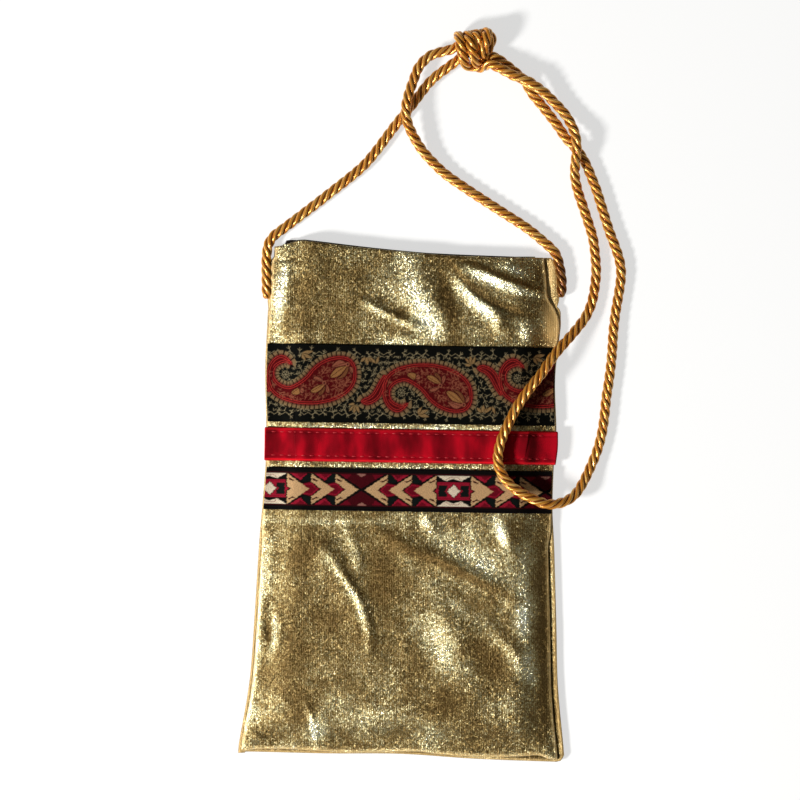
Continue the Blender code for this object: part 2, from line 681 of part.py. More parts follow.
def knot_solid(name, material):
    """The outer shape of the tied knot: a ball flattened to its size, its sides lumpy from the wraps."""
    net = bmesh.new()
    bmesh.ops.create_icosphere(net, subdivisions=3, radius=1.0)
    for vert in net.verts:
        x, y, z = vert.co
        lump = KNOT_LUMP * math.cos(KNOT_WRAPS * (x + KNOT_SLANT * y))
        half_width, half_depth, half_height = (size / 2 for size in KNOT_SIZE)
        vert.co = Vector((x * (half_width + lump), y * (half_depth + lump), z * half_height))
        vert.co += Vector(KNOT_CENTRE)
    mesh = bpy.data.meshes.new(name)
    net.to_mesh(mesh)
    net.free()
    mesh.shade_smooth()
    return link(name, mesh, [material])


def build():
    clear_scene()
    lame = make_material("gold_lame", (176, 158, 106), 0.38, metallic=0.85)
    lining = make_material("dark_lining", (44, 34, 26), 0.8)
    ground = make_material("brocade_ground", (18, 22, 17), 0.75)
    brocade_red = make_material("brocade_red", (150, 30, 34), 0.6)
    brocade_tan = make_material("brocade_tan", (140, 116, 84), 0.6)
    velvet = make_material("red_velvet", (170, 8, 24), 0.9, sheen=0.6)
    black = make_material("ribbon_black", (16, 15, 15), 0.75)
    maroon = make_material("ribbon_maroon", (118, 16, 36), 0.6)
    tan = make_material("ribbon_tan", (192, 150, 96), 0.6)
    cream = make_material("ribbon_cream", (232, 212, 176), 0.6)
    thread_red = make_material("red_thread", (196, 16, 30), 0.6)
    thread_gold = make_material("gold_thread", (150, 128, 80), 0.6)
    satin = make_material("satin_cord", (214, 146, 44), 0.35)

    back_columns = stations(RIM_STEPS, RIM_STEPS, even_shares(BACK_COLUMNS))
    back_rows = stations(RIM_STEPS, (0,), BACK_ROWS)
    net = grid_points(back_columns, back_rows, left_edge, right_edge, hem_edge, mouth_edge)
    grid_sheet("back_panel", net, back_bottom, back_top, lame)

    def lining_left(v):
        return front_left(v) + LINING_SETBACK

    def lining_right(v):
        return front_right(v) - LINING_SETBACK

    def lining_hem(u):
        return front_hem(u) + LINING_SETBACK

    def lining_mouth(u):
        return mouth_edge(u) + LINING_PEEK

    slope_steps = [step - LINING_SETBACK for step in EDGE_STEPS[2:]]
    lining_columns = stations(slope_steps, slope_steps, even_shares(LINING_COLUMNS))
    lining_rows = stations(slope_steps, (0,), LINING_ROWS)
    net = grid_points(lining_columns, lining_rows, lining_left, lining_right, lining_hem, lining_mouth)
    grid_sheet("lining_front", net, lining_front_bottom, lining_front_top, lining)
    back_lining_rows = stations((0,), (0,), LINING_ROWS)
    back_lining_columns = stations((0, RIM_WIDTH), (0, RIM_WIDTH), even_shares(BACK_LINING_COLUMNS))
    net = grid_points(back_lining_columns, back_lining_rows, lining_left, lining_right, lining_hem,
                      lining_mouth)
    grid_sheet("lining_back", net, lining_back_bottom, lining_back_top, lining)

    front_columns = stations(EDGE_STEPS, EDGE_STEPS, even_shares(FRONT_COLUMNS))
    lower_rows = tuple(FRONT_RIBBON_ROWS[0] * share for share in even_shares(FRONT_LOWER_ROWS))
    front_rows = stations(EDGE_STEPS, (0,), lower_rows + FRONT_RIBBON_ROWS + FRONT_UPPER_ROWS)
    net = grid_points(front_columns, front_rows, front_left, front_right, front_hem, mouth_edge)
    grid_sheet("front_panel", net, front_bottom, front_top, lame)

    ribbon("paisley", "paisley_ribbon", PAISLEY_WIDTH, PAISLEY_THICKNESS,
           [ground, brocade_red, brocade_tan], paisley_fields())
    ribbon("velvet", "velvet_ribbon", VELVET_WIDTH, VELVET_THICKNESS, [velvet], [], VELVET_OVERHANG)
    ribbon("geometric", "geometric_ribbon", GEOMETRIC_WIDTH, GEOMETRIC_THICKNESS,
           [black, maroon, tan, cream], geometric_fields())

    def velvet_top(x, y):
        return front_top(x, y) + RIBBON_LIFT + VELVET_THICKNESS

    stitch_reach = VELVET_WIDTH / 2 - VELVET_STITCH_INSET
    thread("velvet_stitch_upper", lambda u: ribbon_centre("velvet", u) + stitch_reach, velvet_top,
           thread_red)
    thread("velvet_stitch_lower", lambda u: ribbon_centre("velvet", u) - stitch_reach, velvet_top,
           thread_red)
    thread("mouth_stitch", lambda u: mouth_edge(u) - MOUTH_STITCH_INSET, front_top, thread_gold)

    cord_tube("strap_left_run", LEFT_RUN, satin)
    cord_tube("strap_right_run", RIGHT_RUN, satin)
    cord_tube("strap_loop", LOOP_RUN, satin)
    knot_solid("strap_knot", satin)


build()
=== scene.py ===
"""Looks of a flat gold lame pouch with three sewn ribbons and a knotted twisted-cord strap.

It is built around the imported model, in its frame: metres, +X across the front to the right, +Y towards
the mouth, +Z out of the front, with the pouch lying on its back.
"""

import math

import bmesh
import bpy
import numpy as np
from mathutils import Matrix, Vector, noise
from mathutils.bvhtree import BVHTree


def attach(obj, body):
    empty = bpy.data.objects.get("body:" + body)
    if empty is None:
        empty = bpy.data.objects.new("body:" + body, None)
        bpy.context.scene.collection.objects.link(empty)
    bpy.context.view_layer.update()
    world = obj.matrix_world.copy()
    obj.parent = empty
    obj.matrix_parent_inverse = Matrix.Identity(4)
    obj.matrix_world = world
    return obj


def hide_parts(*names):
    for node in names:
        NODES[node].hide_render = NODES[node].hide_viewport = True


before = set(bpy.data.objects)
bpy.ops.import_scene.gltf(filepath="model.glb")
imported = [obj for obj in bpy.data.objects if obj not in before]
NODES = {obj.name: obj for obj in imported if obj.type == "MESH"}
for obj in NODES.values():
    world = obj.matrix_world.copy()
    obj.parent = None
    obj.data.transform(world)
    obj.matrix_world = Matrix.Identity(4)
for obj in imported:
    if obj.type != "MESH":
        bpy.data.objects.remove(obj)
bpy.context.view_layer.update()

BODY = "root"


# Tables typed as plain numbers
def table(text, columns=2, scale=1):
    """Points typed one after another."""
    return np.array(text.split(), float).reshape(-1, columns) / scale


def stroke_table(text):
    """Strokes typed one to a line: height, half width, then places along the crest, in millimetres."""
    rows = [np.array(line.split(), float) for line in text.strip().splitlines()]
    return [(row[2:].reshape(-1, 2), row[0], row[1]) for row in rows]


# Camera: straight above, over the middle of the photograph's view
VIEW_SIDE = 0.360
VIEW_CENTRE = (-0.00045, 0.0459)
SHARP_HEIGHT = 0.008
CAMERA_DISTANCE = 1.6
SENSOR = 36.0

# Strap: a cord of four satin strands laid to the left
CORD_DIAMETER = 0.0047
CORD_STRANDS = 4
CORD_PITCH = 0.0172
STRAND_RADIUS_SHARE = 0.435
CORD_RING_STEP = 0.00062
CORD_RING_POINTS = 36
CORD_TAPER = 0.004
CORD_TIP = 0.35

# The strap's route outside the knot, by the points that the solids follow, in tenths of a millimetre
LEFT_RUN = table("""
    -606 916 27  -607 995 26  -608 1053 26  -607 1107 26  -599 1160 26  -574 1200 25  -539 1227 24
    -455 1290 24  -320 1394 24  -182 1505 24  -113 1582 24  -58 1656 24  -9 1720 24  47 1788 24
    86 1840 24  122 1886 26  165 1925 36  206 1955 44  249 1986 52""", 3, 10000)
RIGHT_RUN = table("""
    723 922 27  726 994 26  715 1066 26  695 1124 26  637 1180 25  562 1240 24  472 1298 24  382 1356 24
    292 1415 24  202 1478 26  139 1537 32  92 1591 46  50 1660 66  26 1722 78  23 1782 80  35 1838 74
    55 1896 64  81 1960 58  126 2007 56  176 2026 58  225 2037 59""", 3, 10000)
LOOP_RUN = table("""
    430 2005 38  464 1980 32  511 1943 26  556 1902 25  592 1843 24  633 1793 24  675 1740 24
    714 1688 24  745 1642 24  782 1603 24  817 1557 24  842 1509 24  862 1460 24  884 1403 24
    909 1323 24  940 1224 24  967 1152 24  987 1089 24  994 1029 24  988 968 24  978 908 24  968 848 24
    959 768 24  954 687 24  947 607 24  936 526 24  927 468 24  919 388 24  907 308 24  885 228 26
    851 147 34  821 87 48  790 41 66  752 10 85  702 -7 104  650 -7 117  594 14 123  526 50 126
    476 93 128  444 145 131  435 205 133  449 275 132  479 347 128  513 414 122  553 477 122
    594 531 121  630 576 117  662 623 110  694 667 98  728 707 83  764 747 67  798 787 52  829 828 39
    848 864 31  864 908 26  875 968 24  881 1029 24  879 1089 24  868 1183 24  849 1250 24  822 1332 24
    798 1404 28  785 1467 40  785 1512 56  790 1570 74  790 1618 77  783 1658 66  769 1697 52
    747 1738 42  717 1775 41  681 1812 46  646 1845 56  608 1872 70  565 1898 80  517 1914 79
    468 1940 78  434 1958 75  400 1975 70""", 3, 10000)

# The two stretches inside the knot. Each runs to the right, comes down over the front, turns up at the
# right edge, goes back along the underside, comes down over the front again and leaves to the right.
KNOT_LOWER = table("""
    270 2000 56  297 2021 62  324 2047 66  351 2079 68  374 2106 76  389 2119 90  388 2108 106
    380 2084 114  370 2056 108  361 2032 90  357 2012 60  365 1998 34  374 2021 75  389 2041 86
    405 2070 82  407 2090 64  391 2104 36  356 2097 24  311 2088 26  274 2097 35  259 2097 60
    260 2099 84  264 2070 106  270 2034 110  281 1998 100  291 1971 72  304 1962 42  329 1973 26
    360 1976 34""", 3, 10000)
KNOT_UPPER = table("""
    252 2050 62  279 2068 66  306 2088 70  329 2102 80  344 2105 96  349 2090 108  351 2066 110
    352 2043 100  353 2023 76  358 2007 46  374 2005 26  387 2025 26  394 2052 30  389 2079 34
    369 2092 26  338 2086 24  313 2088 34  304 2094 60  311 2090 90  319 2066 110  327 2030 110
    335 1998 98  342 1976 70  351 1982 44  374 2003 34  401 2013 36""", 3, 10000)
KNOT_STEP = 0.0009
KNOT_LEAD = 10
KNOT_PASSES = 120
# Least distance between two cords, as a share of the diameter, and shares that each pass moves a point
KNOT_SQUEEZE = 0.88
KNOT_PUSH, KNOT_SMOOTHING, KNOT_PULL = 0.6, 0.2, 0.16

# Brocade: places in millimetres, x along the ribbon from the pouch's middle, y up from the ribbon's
PAISLEY_FIRST = -40.0
PAISLEY_PITCH = 52.2
TOOTH_PITCH = 1.95
TOOTH_LENGTH = 2.3
PAISLEY_BODY = table("""
    -9.2 8.4  -11 11  -13.9 12.3  -17 11  -19.3 8.1  -20.3 4.4  -20.1 0.4  -19.1 -2.8  -16.8 -5.4
    -13.3 -7.4  -9.6 -8.5  -5.3 -9.3  0.5 -9.4  4.8 -8.8  9.1 -7.7  13.4 -5.7  17.1 -2.8  19.1 0.4
    19.8 3.8  19.5 7.3  18.3 9.8  16 11.6  12.5 12.1  9.1 11.7  5.6 10.4  2.8 8.7  0.2 6.4  -2.4 3.2
    -4.7 1.2  -7.3 -0.5  -9.9 -1.6  -12.5 -1.4  -15 -0.2  -16.8 1.8  -17.3 4.4  -16.5 7  -14.2 8.7
    -11.6 9.3""")
PAISLEY_WHISKER = table("""
    -30 7.9  -28.8 6.7  -26.9 5.9  -25 4.3  -23.3 1.6  -21.6 -1.6  -19.6 -4.2  -18.4 -2  -19.4 0.6
    -20.4 3.2  -21.4 5.4  -23.2 7.3  -25.6 8.7  -28.2 9.1""")
PAISLEY_PETALS = [
    ("rose", table("15 9.5  12.4 10.5  10.1 9.1  8.9 7.3  11.2 7.6  15 8.4")),
    ("gold", table("15 7.9  11.2 6.9  9 4.6  8.3 2.8  10.5 2.8  13.5 4.6  15.7 7.6")),
    ("bark", table("16.2 7.8  16.1 5.4  14.4 3  11.2 2.1  13.5 3.9")),
    ("rose", table("16.9 7.5  18.3 6.9  18.2 4.6  17.1 5.8")),
    ("rose", table("5.2 0.7  3.7 2.4  1.5 3  0.7 1.9  3.4 0.9")),
    ("gold", table("5.1 -0.6  3 -1  0.4 -2.5  -0.6 -3.9  1.7 -4.2  3.9 -2.8  5.5 -1")),
    ("bark", table("5.7 -1.2  5.5 -3.6  3.7 -5.5  3 -4.5  4.6 -2.8")),
    ("rose", table("6.4 -0.6  7.6 -2.1  7.7 -4.4  6.4 -3.5")),
    ("gold", table("-6 -2.5  -7.5 -2.8  -9.3 -4.5  -7.5 -5.3  -5.6 -4.7")),
    ("rose", table("-5.4 -2.8  -4 -2.4  -3.6 -3.9  -4.9 -4.6"))]
PAISLEY_RINGS = [(16.0, 8.7), (5.5, 0.2)]
CURL_CENTRE = (-12.0, 3.7)
# Sprigs inside the paisley: foot, angle, length, pairs of leaves
PAISLEY_SPRIGS = [
    (9.4, -2.6, 28, 6.2, 3), (13.4, -1.9, 48, 5.2, 2), (8.6, -6.4, 24, 6.6, 3), (3.9, 3.4, 52, 4.6, 2),
    (0.2, -0.6, 75, 2.6, 1), (8.6, 1, 12, 5.4, 2), (-3, -6.9, 62, 2.6, 1), (-0.6, -7.2, 75, 2.4, 1),
    (1.8, -7.6, 60, 2.4, 1), (4.6, -7.6, 70, 2.4, 1), (-15.8, -3.8, -36, 4.4, 2),
    (-11.6, -5.6, -14, 4.6, 2), (-2.4, -2.2, 150, 3, 1), (6.6, 5.4, 30, 2.4, 1), (15.6, 0.2, 70, 2.8, 1),
    (-18.3, 1, -70, 3.6, 1)]
# Leaves on the ground round a paisley: foot, tip, width
GROUND_LEAVES = [
    ((-4.6, 13.2), (0.6, 14.4), 1.7), ((-4.6, 13), (0.2, 11.2), 1.6), ((-4.7, 12.8), (-2.8, 9.9), 1.3),
    ((19.5, -9.4), (16.6, -12.4), 1.4), ((19.7, -9.6), (18.8, -13.4), 1.5),
    ((20, -9.6), (21.2, -13.2), 1.3), ((19.2, -9), (16.4, -9.4), 1.2), ((24.6, 12), (24.9, 8.6), 1.8),
    ((24, 12), (21.8, 9.8), 1.3), ((25.4, 12), (27.4, 9.6), 1.4), ((-23.6, -9.4), (-26.4, -12.2), 1.3),
    ((-23.2, -9.2), (-22.2, -12.6), 1.2)]
SPRIG_SPACING = 2.8
VINE_AT = 13.7
VINE_STEP = 1.7

# Woven band: places in millimetres, x from the middle of a diamond block, y up from the band's middle
BAND_FIRST = -59.2
BAND_PERIOD = 82.9
BAND_FIELD = 6.9

# Velvet: rows of stitches as distances from its two long edges, and soft ripples: place, height, half width
VELVET_WIDTH = 14.3
STITCH_ROWS = (1.6, 2.2)
VELVET_RIPPLES = [
    (-58.5, 0.35, 3), (-50.5, -0.3, 2), (-43.8, 0.35, 2.4), (-36.6, -0.35, 2.2), (-28.8, 0.5, 2.6),
    (-22.4, -0.4, 2.4), (-15.6, 0.3, 2.2), (-8.6, -0.35, 2.4), (-1, 0.3, 2.6), (7.6, -0.3, 2.2),
    (14.6, 0.4, 3), (22.6, -0.35, 2.6), (30.2, 0.45, 3.4), (38.4, -0.3, 2.4), (57, 0.6, 3.2)]

# Sheets: columns and rows of their nets, and thicknesses
FRONT_NET, BACK_NET, LINING_NET = (168, 264), (100, 155), (60, 90)
LAME, LINING = 0.0008, 0.0005
SHEET_LIP = 0.35
# Span across which the seams stand out beside the strap's ends, and how far: front, back left, back right
SEAM_SPAN = (0.0885, 0.1100)
FRONT_SEAM, BACK_SEAM_LEFT, BACK_SEAM_RIGHT = 0.0016, 0.0022, 0.0026

# Share of the front's height between the mouth and its row of stitches
MOUTH_ROW = 0.0014 / 0.2289

# Wrinkles of the front
FRONT_WRINKLES = stroke_table("""
    1.3 3  -50.7 115.5  -50.9 101.5  -51.7 88.5  -52.9 71.5
    -0.65 0.8  -56.2 108.7  -46.7 109.3
    -0.58 0.8  -56.7 102.9  -47.2 104.7
    1.16 6  7.3 108.5  10.3 96.5  17.3 84.5  19.3 71.5
    1.09 1.7  -16.7 90.3  -7.2 85.5  1.1 81.9  8.8 78.7
    1.3 3.4  25.8 104.5  32.8 93.5  42.3 86  47.3 76.5
    1.3 2.2  30.3 106  41.3 101.7  53.3 97.1  64.3 94.5
    -0.87 1.6  20.8 107.7  27.3 100.7  36.3 92.3  45.3 87.5  60.3 82.3
    0.58 2.6  56.3 81.5  58.8 71.5
    0.36 3  -23.7 103.5  -20.7 81.5
    0.29 2.6  -40.7 106.5  -32.7 96.5
    1.01 2.4  -58.1 -18.5  -61.3 -36.7  -63.4 -52.8  -64.7 -76.3  -68.6 -97.8  -70.7 -109.6
    0.87 1.7  -55.5 -47.4  -54.4 -57.1  -55.7 -69.9
    -0.87 1.3  -60 -54.9  -59.1 -64.6
    1.01 2  -34.1 -20.6  -27.3 -30.5  -19.5 -41.9  -15.2 -52.4  -13.5 -66.7
    0.51 2.8  -24.1 -8.8  -20.6 -20.6  -17.1 -32.4
    0.72 2.6  -11.8 -10.6  0.2 -18.5  15.2 -24.5  31.5 -32.6  54.7 -43.4
    1.01 2.6  45.6 -8.8  49.5 -21.7
    0.72 3  11.8 -6.7  15.2 -14.2
    1.16 8.6  17.2 -46.4  24.7 -61.3  28.9 -78.5
    0.72 3.2  58.4 -22.8  58.4 -46.4  59.8 -65.6  62.8 -81.7
    0.72 3.2  38.6 -54.9  50.4 -66.9  62.2 -79.6
    0.58 3.9  -34.8 -95.6  -33.7 -109.6
    0.65 1.1  -43.1 -90.3  -39.6 -97.8  -37.3 -111.2
    0.58 1.5  -66.4 -104.2  -57.8 -110.1""")
# Painted sheen and painted shade on the front's foil: strokes above zero paint it lighter and smoother where
# the key light would catch it, strokes below zero paint it darker
FRONT_PAINTED_SHEEN = stroke_table("""
    1.3 2.6  -52.7 115.5  -53.2 101.5  -54.9 89.5  -56.2 71.5
    1 6  2.3 108.5  4.3 97.5  10.3 86.5  14.3 78.5  11.3 69.5
    0.8 3.5  -9.7 71.5  4.3 71.5
    1.1 1.4  -16.7 89.5  -7.7 84.3  0.3 80.5  7.8 77.3
    1.2 3.4  23.3 103.5  30.3 92.5  39.3 84.5  44.3 75.5
    1.5 2.4  29.3 104.5  40.3 100  52.3 95.3  63.3 92.7
    0.9 1.8  45.3 106  58.3 102
    0.8 2.6  54.3 79.5  56.8 71.5
    0.5 1.8  24.3 112.5  63.3 109.7
    -0.8 2.8  16.3 108.5  19.3 96.5  23.3 81.5  26.3 70.5
    -1.3 1.6  20.8 108.5  27.3 101.5  36.3 93  45.3 88.5  60.3 83.5
    -1.3 1.2  26.3 109.7  39.3 104.5  51.3 99.3  63.3 95.3
    -0.5 6  -42.7 111.5  -43.7 71.5
    -0.45 9  -32.7 109.5  -27.7 73.5
    -0.9 2.6  -1.7 86.5  1.3 83.5
    1.2 2.6  -60 -18.5  -63.2 -36.7  -65.5 -52.8  -66.6 -76.3  -70.7 -97.8  -72.6 -109.6
    1 1.7  -57.6 -47.4  -56.6 -57.1  -58.1 -67.8
    -1 1.1  -60 -54.9  -59.3 -63.5
    1 1.7  -35.3 -21.7  -28.9 -31.3  -21.2 -42.6  -17.1 -52.8  -15.4 -66.7
    0.6 2.6  -25.7 -8.8  -22.5 -20.6  -19.3 -32.4
    1 2.8  9.7 -6.7  12.9 -13.1
    0.9 5.9  16.1 -16.4  31.1 -24.9  50.4 -35.6
    0.7 3.2  28.9 -7.8  32.2 -18.5
    1.6 2.6  43.4 -8.8  47.2 -21.7
    -1.1 1.9  -11.8 -11.5  0 -19.8  15 -26  31.1 -34  54.1 -44.7
    0.9 8  11.8 -46.4  18.2 -61.3  22.5 -78.5
    0.7 2.6  20.4 -43.1  31.1 -51.7
    0.9 3.6  55.7 -22.8  55.2 -46.4  56.3 -65.6  59.5 -81.7
    0.7 3.2  37.5 -57.1  48.2 -67.8  60 -81.2
    0.8 3.9  -37.5 -95.6  -36.4 -109.6
    0.5 9.6  -24.6 -89.2  -9.6 -108.5
    0.4 8.6  1.1 -97.8  20.4 -109.6
    0.9 1  -43.9 -90.3  -40.7 -97.8  -38.6 -111.2
    -0.7 6.4  -43.9 -12.1  -45 -37.8
    -0.7 6.4  -9.6 -22.8  -7.5 -47.4
    -0.6 6.4  -37.5 -42.1  -31.1 -61.3
    -0.7 6.4  -49.3 -61.3  -47.1 -95.6
    -0.8 5.9  37.5 -65.6  45 -78.5
    -0.5 7.5  15 -84.9  28.9 -97.8
    -0.9 2.4  64.3 -7.8  64.8 -108.5
    -0.22 60  -60 -60  60 -60
    1 1.7  -60 33.4  -20 32.9  30 32.6  66 32.6
    1 1.7  -60 15.2  -20 14.8  45 14.6
    0.6 1.5  -62 -8.6  -30 -8.9  0 -9.4""")
# Bare, smooth cloth without foil beside the strap's ends
PLAIN_PATCHES = stroke_table("""
    1.1 1.5  67.3 108  67.3 94
    1.3 3.4  67 91  68 82  67.6 71
    0.8 1.2  -58.8 112  -58.9 91.5""")
RIM_WIDTH = 0.9
# How far the crinkles of a shining stroke lean, across and along the pouch
SHINE_SLOPE = (-0.27, -0.13, 0.0)


def colour(*channels):
    """An sRGB colour, 0 to 255, as a node socket takes it."""
    shares = [channel / 255 for channel in channels]
    return (*(v / 12.92 if v <= 0.04045 else ((v + 0.055) / 1.055) ** 2.4 for v in shares), 1.0)


BROCADE_GROUND = colour(6, 8, 5)
BROCADE_DARK = colour(9, 4, 3)
BROCADE_TOOTH = colour(140, 114, 80)
BROCADE_TOOTH_RED = colour(122, 68, 52)
BROCADE_SPRIG = colour(178, 162, 126)
BROCADE_LEAF = colour(156, 124, 82)
BROCADE_RED = colour(88, 6, 11)
BROCADE_RED_LIGHT = colour(196, 54, 50)
BROCADE_RED_DEEP = colour(58, 3, 8)
PETALS = {"rose": colour(158, 90, 68), "gold": colour(164, 114, 68), "bark": colour(128, 78, 48)}
BAND_BLACK = colour(12, 9, 9)
BAND_GREEN = colour(16, 24, 22)
BAND_RED = colour(170, 26, 52)
BAND_RED_DARK = colour(118, 10, 32)
BAND_MAROON = colour(76, 6, 18)
BAND_TAN = colour(222, 180, 132)
BAND_CREAM = colour(252, 234, 208)
BAND_PINK = colour(170, 116, 104)


class Shading:
    """A material's nodes, made and linked with short calls."""

    def __init__(self, name):
        self.material = bpy.data.materials.new(name)
        self.material.use_nodes = True
        self.tree = self.material.node_tree

    def put(self, socket, value):
        if hasattr(value, "is_output"):
            self.tree.links.new(value, socket)
        else:
            socket.default_value = value

    def node(self, kind, outcome=0, inputs=None, **settings):
        """An output of a new node, whose inputs are given by name or number."""
        made = self.tree.nodes.new("ShaderNode" + kind)
        for name, value in settings.items():
            setattr(made, name, value)
        for name, value in (inputs or {}).items():
            self.put(made.inputs[name], value)
        return made.outputs[outcome]

    def uv(self, name="cloth"):
        return self.node("UVMap", uv_map=name)

    def kept(self, name, outcome="Fac"):
        return self.node("Attribute", outcome, attribute_name=name)

    def math(self, operation, a, b=0.0):
        return self.node("Math", 0, {0: a, 1: b}, operation=operation)

    def vector(self, operation, a, b=(0, 0, 0)):
        return self.node("VectorMath", 0, {0: a, 1: b}, operation=operation)

    def scaled(self, vector, factor):
        return self.node("VectorMath", 0, {0: vector, "Scale": factor}, operation="SCALE")

    def part(self, vector, axis):
        return self.node("SeparateXYZ", axis, {"Vector": vector})

    def mix(self, share, a, b, blend="MIX"):
        return self.node("Mix", 2, {0: share, 6: a, 7: b}, data_type="RGBA", blend_type=blend)

    def range(self, value, low, high, to_low=0.0, to_high=1.0, kind="LINEAR"):
        ends = {0: value, 1: low, 2: high, 3: to_low, 4: to_high}
        return self.node("MapRange", 0, ends, interpolation_type=kind)

    def ramp(self, value, *stops):
        shade = self.node("ValToRGB", 0, {0: value})
        elements = shade.node.color_ramp.elements
        while len(elements) < len(stops):
            elements.new(0.5)
        for element, (place, tone) in zip(elements, stops):
            element.position, element.color = place, tone
        return shade

    def noise(self, vector, scale, detail=2.0, roughness=0.5, outcome=0):
        return self.node("TexNoise", outcome,
                         {"Vector": vector, "Scale": scale, "Detail": detail, "Roughness": roughness})

    def wave(self, vector, scale, way, distortion=0.0, detail_scale=1.0):
        inputs = {"Vector": vector, "Scale": scale, "Distortion": distortion, "Detail Scale": detail_scale}
        return self.node("TexWave", 1, inputs, bands_direction=way)

    def place(self, vector, scale, rotation=(0, 0, 0)):
        return self.node("Mapping", 0, {"Vector": vector, "Scale": scale, "Rotation": rotation})

    def bump(self, height, distance, **normal):
        return self.node("Bump", 0, {"Height": height, "Distance": distance, **normal})

    def finish(self, **sockets):
        shader = self.tree.nodes["Principled BSDF"]
        for name, value in sockets.items():
            self.put(shader.inputs[name.replace("_", " ")], value)
        return self.material


# Lines and objects
def lengths(line):
    """Length along a line up to each of its points."""
    return np.concatenate([[0], np.cumsum(np.linalg.norm(np.diff(line, axis=0), axis=1))])


def resampled(line, count):
    """The line again, by that many evenly spaced points."""
    along = lengths(line)
    at = np.linspace(0, along[-1], count)
    return np.stack([np.interp(at, along, column) for column in line.T], axis=1)


def evenly(line, step):
    return resampled(line, round(lengths(line)[-1] / step) + 1)


def smooth_curve(points, steps=12):
    """Closely spaced points of a smooth curve through the given ones."""
    nodes = np.vstack([2 * points[0] - points[1], points, 2 * points[-1] - points[-2]])
    fine = []
    for a, b, c, d in zip(nodes, nodes[1:], nodes[2:], nodes[3:]):
        for t in np.arange(steps) / steps:
            fine.append(0.5 * (2 * b + (c - a) * t + (2 * a - 5 * b + 4 * c - d) * t ** 2
                               + (3 * b - a - 3 * c + d) * t ** 3))
    fine.append(nodes[-2])
    return np.array(fine)


def to_segment(spots, a, b):
    """The share of a segment at which each spot is nearest to it, and the spot's distance from there."""
    run = b - a
    share = np.clip(((spots - a) @ run) / max(run @ run, 1e-12), 0, 1)
    return share, np.linalg.norm(spots - a - share[:, None] * run, axis=1)


def in_scene(name, data):
    item = bpy.data.objects.new(name, data)
    bpy.context.scene.collection.objects.link(item)
    return item


def add_object(name, points, faces, material):
    mesh = bpy.data.meshes.new(name)
    mesh.from_pydata(points, [], faces)
    mesh.validate()
    mesh.materials.append(material)
    mesh.shade_smooth()
    return in_scene(name, mesh)


def keep_uv(item, name, places):
    """Keeps a place for each corner of a mesh's faces in a UV map."""
    item.data.uv_layers.new(name=name).data.foreach_set("uv", places.astype(np.float32).ravel())


def belongs(item, slot, *nodes):
    """Makes a piece ride on its body and hides the imported solids that it stands for; its slot is not used.
    """
    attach(item, BODY)
    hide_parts(*nodes)


# Cord
def settle_knot():
    """The strap's whole line, with the cords inside the knot pushed apart until they only touch."""
    left, right, loop = (evenly(smooth_curve(run), KNOT_STEP) for run in (LEFT_RUN, RIGHT_RUN, LOOP_RUN))
    lower = evenly(smooth_curve(np.vstack([LEFT_RUN[-1], KNOT_LOWER, LOOP_RUN[-1]])), KNOT_STEP)
    upper = evenly(smooth_curve(np.vstack([RIGHT_RUN[-1], KNOT_UPPER, LOOP_RUN[0]])), KNOT_STEP)
    back, lead = loop[::-1], KNOT_LEAD
    lower = np.vstack([left[-lead:-1], lower, back[1:lead]])
    upper = np.vstack([right[-lead:-1], upper, loop[1:lead]])
    aim = np.vstack([lower, upper])
    split, count = len(lower), len(aim)
    parts = (slice(0, split), slice(split, count))
    hold = np.zeros((count, 1))
    for part in parts:
        ramp = np.clip(1 - np.arange(part.stop - part.start) / (lead * 1.2), 0, 1)
        hold[part, 0] = np.maximum(ramp, ramp[::-1])
    index = np.arange(count)
    neighbours = np.abs(index[:, None] - index) <= int(2.1 * CORD_DIAMETER / KNOT_STEP)
    far = ~neighbours | ((index >= split)[:, None] != (index >= split))
    line = aim.copy()
    for _ in range(KNOT_PASSES):
        between = line[:, None] - line
        distance = np.linalg.norm(between, axis=2)
        depth = np.where(far, np.maximum(CORD_DIAMETER * KNOT_SQUEEZE - distance, 0), 0)
        push = between / np.maximum(distance, 1e-6)[:, :, None] * depth[:, :, None]
        weight = np.maximum((depth > 0).sum(1), 1)[:, None]
        line = line + KNOT_PUSH * push.sum(1) / weight * (1 - hold)
        for part in parts:
            piece = line[part]
            middle = piece.copy()
            middle[2:-2] = (piece[:-4] + piece[4:] + piece[1:-3] + piece[3:-1]) / 4
            line[part] = piece + (middle - piece) * KNOT_SMOOTHING * (1 - hold[part])
        line = line + (aim - line) * KNOT_PULL * (1 - hold)
        line[:, 2] = np.maximum(line[:, 2], CORD_DIAMETER / 2 + 0.0001)
    return np.vstack([left[:-lead], line[:split], back[lead:-lead], line[split:][::-1], right[::-1][lead:]])


